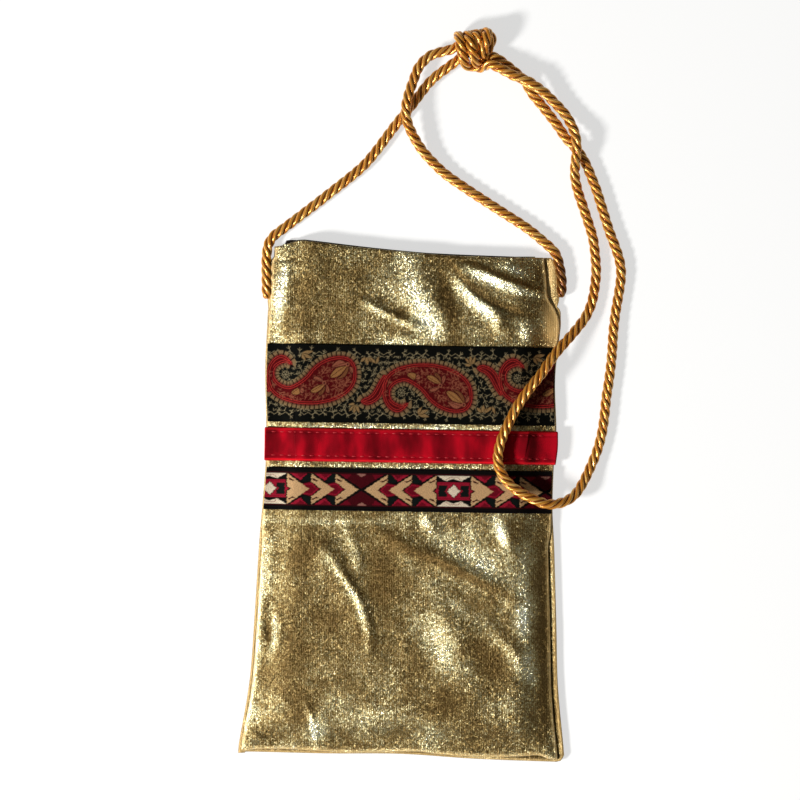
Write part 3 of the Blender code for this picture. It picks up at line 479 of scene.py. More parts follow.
def cord_object(name, line, material):
    """A rope of round strands wound about the line, as one closed skin, with its lengths kept in a UV map."""
    tangent = np.gradient(line, axis=0)
    tangent /= np.linalg.norm(tangent, axis=1)[:, None]
    side = np.zeros_like(line)
    side[0] = np.cross(tangent[0], (0, 0, 1))
    for index in range(1, len(line)):
        carried = side[index - 1] - tangent[index] * (side[index - 1] @ tangent[index])
        side[index] = carried / np.linalg.norm(carried)
    side /= np.linalg.norm(side, axis=1)[:, None]
    up = np.cross(tangent, side)
    along = lengths(line)
    strand = CORD_DIAMETER / 2 * STRAND_RADIUS_SHARE
    offset = CORD_DIAMETER / 2 - strand
    lobe = 2 * math.pi / CORD_STRANDS
    around = np.arange(CORD_RING_POINTS) * 2 * math.pi / CORD_RING_POINTS
    within = (around + lobe / 2) % lobe - lobe / 2
    reach = offset * np.cos(within) + np.sqrt(np.maximum(strand ** 2 - (offset * np.sin(within)) ** 2, 0))
    angle = (around - 2 * math.pi * along[:, None] / CORD_PITCH)[:, :, None]
    from_end = np.clip(np.minimum(along, along[-1] - along) / CORD_TAPER, 0, 1)
    taper = CORD_TIP + (1 - CORD_TIP) * np.sqrt(1 - (1 - from_end) ** 2)
    outward = np.cos(angle) * side[:, None] + np.sin(angle) * up[:, None]
    points = line[:, None] + reach[:, None] * taper[:, None, None] * outward
    rings, sides = points.shape[:2]
    ring, column = np.meshgrid(np.arange(rings - 1), np.arange(sides), indexing="ij")
    a = ring * sides + column
    b = ring * sides + (column + 1) % sides
    faces = np.stack([a, b, b + sides, a + sides], axis=2).reshape(-1, 4).tolist()
    faces += [list(range(sides))[::-1], list(range((rings - 1) * sides, rings * sides))]
    cord = add_object(name, points.reshape(-1, 3).tolist(), faces, material)
    places = np.zeros((len(cord.data.loops), 2))
    across = np.stack([column, column + 1, column + 1, column], axis=2).ravel() / sides * CORD_STRANDS
    down = along[np.stack([ring, ring, ring + 1, ring + 1], axis=2).ravel()] / CORD_DIAMETER
    places[:len(across)] = np.stack([across, down], axis=1)
    keep_uv(cord, "strand", places)
    return cord


def satin_cord_material():
    s = Shading("satin_cord")
    uv = s.uv("strand")
    fibres = s.noise(s.place(uv, (9, 0.5, 1)), 1.0, 3.0, 0.6)
    wide = s.noise(s.place(uv, (1.2, 0.25, 1)), 1.0, 1.0)
    # Painted shade: the base colour darkens towards the grooves between the strands.
    crest = s.math("SUBTRACT", s.math("FRACT", s.math("ADD", s.math("FRACT", s.part(uv, 0)), 0.5)), 0.5)
    groove_shade = s.range(s.math("ABSOLUTE", crest), 0.20, 0.48, kind="SMOOTHSTEP")
    gold = s.ramp(fibres, (0.32, colour(196, 104, 20)), (0.5, colour(236, 158, 50)),
                  (0.66, colour(255, 234, 148)))
    warm = s.mix(s.range(wide, 0.4, 0.7, 0.0, 0.5), gold, colour(214, 126, 32))
    shade = s.mix(s.math("MULTIPLY", groove_shade, 0.92), warm, colour(106, 36, 3))
    # Painted shadow: the base colour darkens near the strap's right end, where the pouch's edge shades it.
    ends = {0: s.node("TexCoord", 3), 1: tuple(RIGHT_RUN[1])}
    from_end = s.node("VectorMath", 1, ends, operation="DISTANCE")
    shadow = s.range(from_end, 0.007, 0.016, 0.75, 0.0, "SMOOTHSTEP")
    return s.finish(Base_Color=s.mix(shadow, shade, colour(70, 30, 8)), Metallic=0.45,
                    Roughness=s.range(fibres, 0.3, 0.7, 0.20, 0.34), Normal=s.bump(fibres, 0.00012))


def make_strap():
    line = evenly(settle_knot(), CORD_RING_STEP)
    cord = cord_object("strap_cord", line, satin_cord_material())
    belongs(cord, "satin_cord", "strap_left_run", "strap_right_run", "strap_loop", "strap_knot")


# Sheets
def top_outline(node):
    """The edge of a packed sheet's upper side, as four smooth lines: hem, right, mouth, left."""
    mesh = NODES[node].data
    keys = [tuple(np.round(vert.co, 6)) for vert in mesh.vertices]
    sides = {}
    for face in mesh.polygons:
        if face.normal.z > 0.3:
            corners = [keys[index] for index in face.vertices]
            sides.update(dict.fromkeys(zip(corners, corners[1:] + corners[:1])))
    following = {start: end for start, end in sides if (end, start) not in sides}
    loop = [min(following)]
    while following[loop[-1]] != loop[0]:
        loop.append(following[loop[-1]])
    loop = np.array(loop)
    corners = [int(np.argmax(loop[:, :2] @ way)) for way in ((-1, -1), (1, -1), (1, 1), (-1, 1))]
    loop = np.roll(loop, -corners[0], axis=0)
    ends = [(corner - corners[0]) % len(loop) for corner in corners] + [len(loop)]
    closed = np.vstack([loop, loop[:1]])
    edges = [smooth_curve(closed[start:end + 1], 6) for start, end in zip(ends, ends[1:])]
    return edges[0], edges[1], edges[2][::-1], edges[3][::-1]


def net_between(edges, columns, rows):
    """Flat points, rows by columns, spread between four edges."""
    hem, right, mouth, left = (resampled(edge[:, :2], count)
                               for edge, count in zip(edges, (columns, rows, columns, rows)))
    u = np.linspace(0, 1, columns)[None, :, None]
    v = np.linspace(0, 1, rows)[:, None, None]
    corners = (1 - v) * ((1 - u) * hem[0] + u * hem[-1]) + v * ((1 - u) * mouth[0] + u * mouth[-1])
    return (1 - v) * hem[None] + v * mouth[None] + (1 - u) * left[:, None] + u * right[:, None] - corners


def height_on(node, flat):
    """Height of a packed sheet's upper side over each point of a flat net."""
    mesh = NODES[node].data
    tree = BVHTree.FromPolygons([vert.co for vert in mesh.vertices],
                                [face.vertices for face in mesh.polygons])
    middle = flat.reshape(-1, 2).mean(0)
    found = np.zeros(flat.shape[:2])
    for place in np.ndindex(found.shape):
        for share in (0, 0.004, 0.012, 0.03):
            x, y = flat[place] + (middle - flat[place]) * share
            hit = tree.ray_cast(Vector((x, y, 1.0)), Vector((0, 0, -1)))[0]
            if hit is not None:
                break
        found[place] = hit.z
    return found


def blurred(values, reach):
    """A net's values smoothed over `reach` steps each way; the values beyond an edge repeat it."""
    size = int(3 * reach) + 1
    weights = np.exp(-0.5 * (np.arange(-size, size + 1) / reach) ** 2)
    weights /= weights.sum()
    for axis in (0, 1):
        pad = [(size, size) if axis == index else (0, 0) for index in (0, 1)]
        wide = np.pad(values, pad, mode="edge")
        slices = [np.take(wide, range(k, k + values.shape[axis]), axis=axis) for k in range(2 * size + 1)]
        values = sum(weight * part for weight, part in zip(weights, slices))
    return values


def noise_over(flat, size, seed, octaves=1):
    """Smooth noise of the given size over a flat net, about -1 to 1."""
    found = np.zeros(flat.shape[:2])
    for place in np.ndindex(found.shape):
        spot = (*flat[place] / size, seed)
        found[place] = noise.fractal(spot, 1.0, 2.0, octaves) if octaves > 1 else noise.noise(spot)
    return found


def sheet_object(name, top, thickness, material, ladder):
    """A closed sheet below a net of points, with a rounded edge. A ladder's underside has one row."""
    rows, columns = top.shape[:2]
    index = np.arange(rows * columns).reshape(rows, columns)
    edge = np.concatenate([index[0, :-1], index[:-1, -1], index[-1, :0:-1], index[:0:-1, 0]])
    flat = top.reshape(-1, 3)
    rim = flat[edge]
    along = np.roll(rim, 1, axis=0) - np.roll(rim, -1, axis=0)
    outward = np.stack([-along[:, 1], along[:, 0], np.zeros(len(rim))], axis=1)
    outward /= np.maximum(np.linalg.norm(outward, axis=1), 1e-9)[:, None]
    down = np.array((0, 0, thickness))
    quads = [index[:-1, :-1], index[:-1, 1:], index[1:, 1:], index[1:, :-1]]
    faces = np.stack(quads, axis=2).reshape(-1, 4).tolist()
    ring = len(flat) + np.arange(len(edge))
    start = ring[-1] + 1
    if ladder:
        under = rim - down
        low = start + np.arange(len(edge))
        near, far = low[:columns], low[columns + rows - 2:2 * columns + rows - 2][::-1]
        faces += np.stack([near[1:], near[:-1], far[:-1], far[1:]], axis=1).tolist()
        faces += [low[columns - 1:columns + rows - 1].tolist(),
                  np.append(low[2 * columns + rows - 3:], low[0]).tolist()]
    else:
        under = flat - down
        low = start + edge
        faces += (np.stack(quads[::-1], axis=2).reshape(-1, 4) + start).tolist()
    for upper, lower in ((edge, ring), (ring, low)):
        faces += np.stack([np.roll(upper, -1), upper, lower, np.roll(lower, -1)], axis=1).tolist()
    points = np.vstack([flat, rim + outward * thickness * SHEET_LIP - down / 2, under])
    return add_object(name, points.tolist(), faces, material)


def lay_sheet(name, node, slot, top, material, thickness, places=None):
    """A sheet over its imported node, with its points' places on the flat cloth kept in millimetres."""
    item = sheet_object(name, top, thickness, material, ladder=places is not None)
    flat = (top[:, :, :2] * 1000 if places is None else places).reshape(-1, 2)
    everywhere = np.array([vert.co[:2] for vert in item.data.vertices]) * 1000
    everywhere[:len(flat)] = flat
    corners = np.zeros(len(item.data.loops), np.int32)
    item.data.loops.foreach_get("vertex_index", corners)
    keep_uv(item, "cloth", everywhere[corners])
    belongs(item, slot, node)
    return item


# Panels
def lining_material():
    s = Shading("lining")
    uv = s.uv()
    warp, weft = (s.wave(uv, 0.7, way, 0.6) for way in ("X", "Y"))
    woven = s.math("MULTIPLY", warp, weft)
    slub = s.noise(s.place(uv, (0.3, 3.0, 1)), 1.0, 2.0)
    shade = s.mix(s.range(slub, 0.35, 0.65), colour(38, 29, 24), colour(54, 42, 35))
    shade = s.mix(s.range(woven, 0.0, 0.5, 0.5, 0.0), shade, colour(22, 17, 14))
    return s.finish(Base_Color=shade, Roughness=0.85, Specular_IOR_Level=0.2, Normal=s.bump(woven, 0.00008))


def lame_material():
    s = Shading("gold_lame")
    uv = s.uv()
    painted_sheen_and_tone = s.kept("painted_sheen_and_tone")
    plain = s.range(s.kept("plain"), 0.0, 1.0, 0.0, 0.9)
    foiled = s.math("SUBTRACT", 1.0, plain)
    drift = s.scaled(s.noise(uv, 1.1, 2.0, 0.5, outcome=1), 1.4)
    spot = s.place(s.vector("ADD", uv, drift), (3.0, 2.1, 1))
    flake = s.node("TexVoronoi", "Color", {"Vector": spot, "Scale": 1.0})
    ribs = s.wave(uv, 0.31, "X", 1.4, 1.5)
    grain = s.noise(uv, 2.6, 4.0, 0.65)
    patches = s.noise(uv, 0.07, 3.0, 0.55)
    chance = s.node("SeparateColor", 2, {"Color": flake})
    # Painted sheen: the kept strokes make the foil's colour lighter where the key light would catch it and
    # darker where it would not; on the back they vary at random.
    foil_and_painted_sheen = s.math("ADD", s.math("MULTIPLY", chance, 0.56), s.math("MULTIPLY", painted_sheen_and_tone, 0.40))
    foil_and_painted_sheen = s.math("ADD", foil_and_painted_sheen, s.range(patches, 0.3, 0.7, -0.14, 0.20))
    foil_and_painted_sheen = s.math("SUBTRACT", foil_and_painted_sheen, s.math("MULTIPLY", s.math("SUBTRACT", 1.0, ribs), 0.13))
    shade = s.ramp(foil_and_painted_sheen, (0.08, colour(104, 82, 42)), (0.34, colour(150, 130, 82)),
                   (0.60, colour(206, 199, 155)), (0.90, colour(246, 249, 234)))
    lean = s.vector("SUBTRACT", flake, (0.5, 0.5, 0.5))
    lean = s.vector("MULTIPLY", lean, s.vector("ABSOLUTE", lean))
    lean = s.vector("MULTIPLY", s.vector("MULTIPLY", lean, (2.2, 2.2, 0.0)), foiled)
    lean = s.vector("ADD", lean, s.scaled(SHINE_SLOPE, s.range(painted_sheen_and_tone, 0.1, 1.3)))
    facet = s.vector("NORMALIZE", s.vector("ADD", s.node("NewGeometry", "Normal"), lean))
    normal = s.bump(grain, 0.00022, Normal=s.bump(ribs, 0.00004, Normal=facet))
    return s.finish(Base_Color=s.mix(plain, shade, colour(234, 194, 124)), Normal=normal,
                    Metallic=s.math("MULTIPLY", foiled, s.range(foil_and_painted_sheen, 0.1, 0.7, 0.80, 1.0)),
                    Roughness=s.range(foil_and_painted_sheen, 0.1, 0.8, 0.40, 0.24))


def strokes_over(flat, strokes):
    """Sum of soft strokes over a net."""
    places = flat.reshape(-1, 2) * 1000
    total = np.zeros(len(places))
    for line, height, half_width in strokes:
        line = smooth_curve(line, 6) if len(line) > 2 else line
        along = lengths(line)
        gap, passed = np.full(len(places), 1e9), np.zeros(len(places))
        for a, b, before, after in zip(line, line[1:], along, along[1:]):
            share, distance = to_segment(places, a, b)
            passed = np.where(distance < gap, before + share * (after - before), passed)
            gap = np.minimum(gap, distance)
        fade = np.sin(math.pi * np.clip(passed / along[-1], 0.06, 0.94)) ** 0.5
        total += height * fade * np.exp(-(gap / half_width) ** 2)
    return total.reshape(flat.shape[:2])


def beside_straps(flat, left, right):
    """Widens a net near the strap's sewn ends, where the seams stand out sideways."""
    low, high = SEAM_SPAN
    near = np.clip(1.25 - np.abs((2 * flat[:, :, 1] - low - high) / (high - low)) ** 4, 0, 1)
    share = np.linspace(-1, 1, flat.shape[1])[None, :]
    moved = flat.copy()
    moved[:, :, 0] += near * (right * np.clip(share, 0, 1) ** 8 - left * np.clip(-share, 0, 1) ** 8)
    return moved


def near_sides(flat):
    """1 at the two long edges of a net and at its hem, fading over a millimetre."""
    apart = np.linalg.norm(flat[:, -1] - flat[:, 0], axis=1)[:, None] * 1000
    share = np.linspace(0, 1, flat.shape[1])[None, :]
    up = (flat[:, :, 1] - flat[:1, :, 1]) * 1000
    return np.exp(-(np.minimum(np.minimum(share, 1 - share) * apart, up) / RIM_WIDTH) ** 2)


def keep_foil(item, flat, painted_sheen_and_tone):
    """Keeps the foil's painted sheen and where the cloth is bare on the points of a sheet, for the material.
    """
    bare = np.clip(strokes_over(flat, PLAIN_PATCHES) + 0.75 * near_sides(flat), 0, 1)
    for name, given in (("painted_sheen_and_tone", painted_sheen_and_tone), ("plain", bare)):
        values = np.zeros(len(item.data.vertices), np.float32)
        values[:given.size] = given.ravel()
        item.data.attributes.new(name, "FLOAT", "POINT").data.foreach_set("value", values)


def make_panels():
    lame, dark = lame_material(), lining_material()
    flat = net_between(top_outline("front_panel"), *FRONT_NET)
    rise = blurred(height_on("front_panel", flat), 1.6)
    rise = rise + strokes_over(flat, FRONT_WRINKLES) / 1000 + noise_over(flat, 0.011, 3.1, 3) * 0.00022
    flat = beside_straps(flat, FRONT_SEAM, 0.0)
    front_top = np.dstack([flat, rise])
    front = lay_sheet("front_cloth", "front_panel", "gold_lame", front_top, lame, LAME)
    # Painted sheen on the front: the listed strokes, and a lighter rim along its sides and hem.
    keep_foil(front, flat, strokes_over(flat, FRONT_PAINTED_SHEEN) + 0.8 * near_sides(flat))
    flat = net_between(top_outline("back_panel"), *BACK_NET)
    rise = blurred(height_on("back_panel", flat), 0.8)
    flat = beside_straps(flat, BACK_SEAM_LEFT, BACK_SEAM_RIGHT)
    back = lay_sheet("back_cloth", "back_panel", "gold_lame", np.dstack([flat, rise]), lame, LAME)
    keep_foil(back, flat, noise_over(flat, 0.03, 8.2))
    for node in ("lining_front", "lining_back"):
        flat = net_between(top_outline(node), *LINING_NET)
        top = np.dstack([flat, blurred(height_on(node, flat), 1.0)])
        lay_sheet(node + "_cloth", node, "lining", top, dark, LINING)
    return front_top


# Woven patterns
def heading(angle):
    """The step of one unit at that angle in degrees."""
    return np.array((math.cos(math.radians(angle)), math.sin(math.radians(angle))))


class Pattern:
    """Colours and raised threads of a woven ribbon, painted on the points of its net, in millimetres."""

    pitch = 0.25

    def __init__(self, places, ground, thread, stagger):
        row = np.floor(places[:, 1] / thread)
        self.places = places + np.outer(stagger * ((row * 7) % 5 / 4 - 0.5), (1, 0))
        self.shade = np.tile(np.array(ground[:3], float), (len(places), 1))
        self.lift = np.zeros(len(places))

    def cover(self, chosen, amount, shade, lift):
        amount = np.clip(amount, 0, 1)
        self.shade[chosen] = self.shade[chosen] * (1 - amount[:, None]) + np.outer(amount, shade[:3])
        self.lift[chosen] = self.lift[chosen] * (1 - amount) + lift * amount

    def near(self, points, reach):
        low, high = points.min(0) - reach, points.max(0) + reach
        return np.flatnonzero(((self.places >= low) & (self.places <= high)).all(1))

    def line(self, points, width, shade, lift=0.0, closed=False):
        """A thread along the points; its width may change from one end to the other, as a pair."""
        points = np.vstack([points, points[:1]]) if closed else np.array(points, float)
        widths = np.linspace(*width, len(points)) if isinstance(width, tuple) else np.full(len(points), width)
        chosen = self.near(points, widths.max())
        spots, depth = self.places[chosen], np.full(len(chosen), -1e9)
        for a, b, wide, after in zip(points, points[1:], widths, widths[1:]):
            share, gap = to_segment(spots, a, b)
            depth = np.maximum(depth, (wide + (after - wide) * share) / 2 - gap)
        self.cover(chosen, 0.5 + depth / self.pitch, shade, lift)

    def area(self, points, shade, lift=0.0):
        """A field with that outline."""
        points = np.array(points, float)
        chosen = self.near(points, self.pitch)
        spots = self.places[chosen]
        gap = np.full(len(chosen), 1e9)
        hit = np.zeros(len(chosen), bool)
        for a, b in zip(points, np.roll(points, -1, axis=0)):
            gap = np.minimum(gap, to_segment(spots, a, b)[1])
            if a[1] != b[1]:
                crosses = (a[1] > spots[:, 1]) != (b[1] > spots[:, 1])
                hit ^= crosses & (spots[:, 0] < a[0] + (b[0] - a[0]) * (spots[:, 1] - a[1]) / (b[1] - a[1]))
        self.cover(chosen, 0.5 + np.where(hit, gap, -gap) / self.pitch, shade, lift)

    def leaf(self, base, tip, width, shade, lift=0.0):
        along = tip - base
        across = np.array([-along[1], along[0]]) / np.linalg.norm(along)
        shares = np.array([0, 0.15, 0.35, 0.55, 0.75, 0.9, 1])[:, None]
        spine, half = base + shares * along, width / 2 * np.sin(math.pi * shares ** 0.8) * across
        self.area(np.vstack([spine + half, (spine - half)[-2:0:-1]]), shade, lift)


class Placed:
    """A motif's own places in a pattern: moved to its middle and turned over by signs for x and y."""

    def __init__(self, pattern, middle, signs=(1, 1)):
        self.pattern, self.middle, self.signs = pattern, middle, signs

    def flipped(self, y_sign):
        return Placed(self.pattern, self.middle, (self.signs[0], self.signs[1] * y_sign))

    def at(self, points):
        return np.array(points, float) * self.signs + self.middle

    def line(self, points, *rest, **words):
        self.pattern.line(self.at(points), *rest, **words)

    def area(self, points, *rest):
        self.pattern.area(self.at(points), *rest)

    def disc(self, centre, radius, shade, lift=0.0):
        self.area([centre + radius * heading(turn) for turn in range(0, 360, 30)], shade, lift)

    def leaf(self, base, tip, *rest):
        self.pattern.leaf(self.at(base), self.at(tip), *rest)

    def sprig(self, base, angle, length, pairs, shade, width=0.15, lift=0.05, spread=50):
        """A stem with short leaves on both sides."""
        along = heading(angle) * length
        self.line([base, base + along], width, shade, lift)
        for pair in range(pairs):
            start = base + along * (pair + 1) / (pairs + 1)
            reach = length * 0.42 * (1 - 0.25 * pair / max(pairs - 1, 1))
            for side in (-1, 1):
                self.line([start, start + reach * heading(angle + side * spread)], width, shade, lift)


def offset_curve(points, distance):
    """A closed anticlockwise curve moved outwards."""
    run = np.roll(points, -1, axis=0) - np.roll(points, 1, axis=0)
    outward = np.stack([run[:, 1], -run[:, 0]], axis=1) / np.linalg.norm(run, axis=1)[:, None]
    return points + outward * distance


def closed_curve(points, count):
    """Evenly spaced points of a smooth closed curve, anticlockwise."""
    fine = smooth_curve(np.vstack([points[-2:], points, points[:3]]), 8)[16:17 + 8 * len(points)]
    curve = resampled(fine, count + 1)[:-1]
    x, y = curve.T
    return curve if np.sum(x * np.roll(y, -1) - np.roll(x, -1) * y) > 0 else curve[::-1]


def inside(spot, outline):
    """Whether a closed outline goes round the spot."""
    after = np.roll(outline, -1, axis=0)
    crosses = (outline[:, 1] > spot[1]) != (after[:, 1] > spot[1])
    rise = np.where(crosses, after[:, 1] - outline[:, 1], 1.0)
    at = outline[:, 0] + (after[:, 0] - outline[:, 0]) * (spot[1] - outline[:, 1]) / rise
    return (crosses & (at > spot[0])).sum() % 2 == 1


def paint_teeth(motif, outline):
    """Square teeth that stand out all round a closed outline."""
    teeth = round(np.linalg.norm(np.roll(outline, -1, axis=0) - outline, axis=1).sum() / TOOTH_PITCH)
    stations = closed_curve(outline, teeth * 4)
    root, neck, crown = (offset_curve(stations, reach) for reach in (0.2, 1.0, TOOTH_LENGTH))
    motif.area(offset_curve(stations, TOOTH_LENGTH * 0.9), BROCADE_DARK)
    for first in range(0, teeth * 4, 4):
        for inner, outer, shade in ((root, neck, BROCADE_TOOTH_RED), (neck, crown, BROCADE_TOOTH)):
            motif.area([inner[first], *outer[first:first + 4], inner[first + 3]], shade, 0.10)


def paint_paisley(motif):
    body, whisker = closed_curve(PAISLEY_BODY, 200), closed_curve(PAISLEY_WHISKER, 80)
    for outline in (whisker, body):
        paint_teeth(motif, outline)
    for outline in (whisker, body):
        motif.area(offset_curve(outline, 0.35), BROCADE_RED_DEEP)
        motif.area(outline, BROCADE_RED, 0.02)
    for outline in (whisker, body):
        motif.line(offset_curve(outline, -0.1), 0.34, BROCADE_RED_LIGHT, 0.10, closed=True)
        motif.line(offset_curve(outline, -0.5), 0.34, BROCADE_RED_DEEP, 0.0, closed=True)
        motif.line(offset_curve(outline, -0.95), 0.28, BROCADE_RED_LIGHT, 0.08, closed=True)
    motif.area([(-17.6, -1.2), (-19.0, 0.2), (-19.4, 3.6), (-18.2, 7.4), (-17.4, 6.4), (-18.0, 3.2)],
               BROCADE_RED, 0.02)
    chance = np.random.default_rng(5)
    inner = offset_curve(body, -1.9)
    for column, row in np.ndindex(20, 11):
        spot = np.array((2 * column - 19, 2 * row - 9)) + chance.uniform(-0.4, 0.4, 2)
        if inside(spot, inner):
            angle = chance.uniform(0, 360)
            motif.sprig(spot - heading(angle), angle, 2.0, 1, PETALS["rose"], 0.16, 0.06)
    for x, y, angle, length, pairs in PAISLEY_SPRIGS:
        motif.sprig((x, y), angle, length, pairs, PETALS["rose"], 0.26, 0.06)
    for tone, outline in PAISLEY_PETALS:
        wide = closed_curve(outline, 24)
        motif.area(offset_curve(wide, 0.3), BROCADE_RED_DEEP)
        motif.area(wide, PETALS[tone], 0.08)
        tip = wide[np.argmax(np.linalg.norm(wide - wide[0], axis=1))]
        motif.line([wide[0], tip], 0.2, BROCADE_RED_DEEP)
    for ring in PAISLEY_RINGS:
        motif.disc(ring, 0.95, PETALS["rose"], 0.10)
        motif.disc(ring, 0.45, BROCADE_RED_DEEP)
    motif.disc(CURL_CENTRE, 2.5, BROCADE_GROUND)
    for angle in range(10, 370, 60):
        motif.sprig(CURL_CENTRE, angle, 2.2, 1, BROCADE_SPRIG, 0.13, spread=60)


def paint_brocade(places):
    pattern = Pattern(places, BROCADE_GROUND, 0.30, 0.16)
    ground = Placed(pattern, (0, 0))
    chance = np.random.default_rng(11)
    low, high = places[:, 0].min(), places[:, 0].max()
    for row, y in enumerate(np.arange(-12.6, 13.0, SPRIG_SPACING)):
        for x in np.arange(low + (row % 2) * SPRIG_SPACING / 2, high, SPRIG_SPACING):
            spot = np.array((x, y)) + chance.uniform(-0.4, 0.4, 2)
            angle, length = chance.uniform(0, 360), chance.uniform(2.4, 3.2)
            pairs = int(chance.integers(1, 3))
            ground.sprig(spot - length / 2 * heading(angle), angle, length, pairs, BROCADE_SPRIG)
    for side in (-1, 1):
        half = ground.flipped(side)
        half.area([(low, 12.7), (high, 12.7), (high, 18), (low, 18)], BROCADE_GROUND)
        zigzag = [(x, VINE_AT + 0.55 * (-1) ** k) for k, x in enumerate(np.arange(low, high, VINE_STEP))]
        for start in range(0, len(zigzag) - 7, 9):
            half.line(zigzag[start:start + 8], 0.15, BROCADE_SPRIG, 0.05)
        for x, y in zigzag[::3]:
            for turn in (-90, 90):
                x_drift, angle = chance.uniform(-0.5, 0.5), turn + side * chance.uniform(-55, 55)
                half.sprig((x + x_drift, y), angle, chance.uniform(1.6, 2.8), 1, BROCADE_SPRIG)
    for index in range(-1, 4):
        motif = Placed(pattern, (PAISLEY_FIRST + index * PAISLEY_PITCH, 0), (1, (-1) ** (index % 2)))
        for foot, tip, width in GROUND_LEAVES:
            motif.leaf(foot, tip, width + 0.7, BROCADE_GROUND)
            motif.leaf(foot, tip, width, BROCADE_LEAF, 0.08)
        paint_paisley(motif)
    return pattern.shade, pattern.lift


def paint_arrow(motif, back, tip):
    """A red arrow head with a lighter edge."""
    motif.area([(back, 2.3), (back + 4.0, 3.2), (tip, 0), (back + 4.0, -3.2), (back, -2.3)],
               BAND_RED_DARK, 0.05)
    motif.line([(back + 1.0, 2.0), (back + 4.4, 2.4), (tip - 1.0, 0), (back + 4.4, -2.4), (back + 1.0, -2.0)],
               0.45, BAND_RED, 0.07)


def paint_chevron(motif, back):
    motif.area([(back, BAND_FIELD), (back + 10.3, 0), (back, -BAND_FIELD), (back, -3.4), (back + 4.5, 0),
                (back, 3.4)], BAND_TAN, 0.10)


def paint_arrows(motif):
    paint_arrow(motif, 14.6, 22.6)
    motif.area([(7.9, -BAND_FIELD), (7.9, BAND_FIELD), (17.9, 0)], BAND_TAN, 0.10)
    motif.area([(7.6, 1.5), (9.7, 0), (7.6, -1.5)], BAND_BLACK)
    motif.area([(6.2, 0), (7.3, 1.3), (8.6, 0), (7.3, -1.3)], BAND_RED, 0.06)
    paint_arrow(motif, 25.8, 33.6)
    for back in (18.9, 29.8):
        paint_chevron(motif, back)
    for half in (motif, motif.flipped(-1)):
        for x in (9.3, 20.3):
            half.area([(x, BAND_FIELD), (x + 7.6, BAND_FIELD), (x + 4.7, 3.9)], BAND_RED, 0.06)
            half.area([(x + 2.6, BAND_FIELD), (x + 7.0, BAND_FIELD), (x + 4.8, 5.0)], BAND_RED_DARK, 0.05)
            half.area([(x + 8.1, BAND_FIELD), (x + 9.1, BAND_FIELD), (x + 9.1, 3.4), (x + 6.6, 3.1),
                       (x + 5.3, 3.9)], BAND_GREEN, 0.02)
        for x in (8.8, 19.5, 30.4):
            half.line([(x, 4.6), (x + 1.3, 4.0), (x + 2.5, 3.9)], (0.7, 0.3), BAND_MAROON, 0.02)
            half.line([(x + 0.3, 4.2), (x + 1.9, 3.5)], 0.3, BAND_BLACK)


def paint_block(motif):
    motif.area([(-7.3, -4.0), (7.3, -4.0), (7.3, 4.0), (-7.3, 4.0)], BAND_RED, 0.06)
    for side in (1, -1):
        half, near, far = motif.flipped(side), side * 3.0, side * 6.9
        half.line([(-7.2, 3.4), (7.2, 3.4)], 0.22, BAND_RED_DARK, 0.03)
        motif.area([(near, -2.6), (far, -2.6), (far, 2.6), (near, 2.6)], BAND_GREEN, 0.02)
        half.area([(-7.5, BAND_FIELD), (-3.4, 4.5), (0, 5.6), (3.4, 4.5), (7.5, BAND_FIELD)],
                  BAND_CREAM, 0.12)
        half.line([(-3.4, 4.9), (-1.7, 6.2), (0, 6.0), (1.7, 6.2), (3.4, 4.9)], 0.25, BAND_PINK, 0.10)
    for reach, shade, lift in ((4.1, BAND_RED, 0.06), (3.4, BAND_MAROON, 0.03), (2.9, BAND_CREAM, 0.12)):
        motif.area([(-reach, 0), (0, -reach), (reach, 0), (0, reach)], shade, lift)


def paint_hourglass(motif):
    for half in (motif, motif.flipped(-1)):
        half.area([(-10.0, BAND_FIELD), (10.0, BAND_FIELD), (0, 0.5)], BAND_MAROON, 0.05)
        for side in (1, -1):
            half.area([(side * 9.8, BAND_FIELD), (side * 4.6, BAND_FIELD), (side * 6.4, 4.7)],
                      BAND_RED_DARK, 0.06)
        half.area([(-2.2, 7.0), (0, 7.4), (2.2, 7.0), (0, 5.7)], BAND_PINK, 0.10)


def paint_band(places):
    pattern = Pattern(places, BAND_BLACK, 0.42, 0.5)
    for index in range(-1, 3):
        middle = BAND_FIRST + index * BAND_PERIOD
        paint_hourglass(Placed(pattern, (middle + BAND_PERIOD / 2, 0)))
        for sign in (1, -1):
            paint_arrows(Placed(pattern, (middle, 0), (sign, 1)))
        paint_block(Placed(pattern, (middle, 0)))
    low, high = places[:, 0].min(), places[:, 0].max()
    for y in (7.3, -7.3):
        pattern.line([(low, y), (high, y)], 0.3, BAND_MAROON, 0.03)
    return pattern.shade, pattern.lift


def shape_velvet(places):
    """The pile's height: round long edges, a groove along each row of stitches, and soft ripples."""
    x, y = places.T
    from_edge = VELVET_WIDTH / 2 - np.abs(y)
    lift = -0.55 * np.clip(1 - from_edge / 1.1, 0, 1) ** 2
    for row, sign in zip(STITCH_ROWS, (1, -1)):
        lift -= 0.28 * np.exp(-((y - sign * (VELVET_WIDTH / 2 - row)) / 0.5) ** 2)
    flatter = np.clip(from_edge / 2.5, 0.25, 1)
    for place, height, half_width in VELVET_RIPPLES:
        lift += height * flatter * np.exp(-((x - place - 0.18 * y) / half_width) ** 2)
    return None, lift


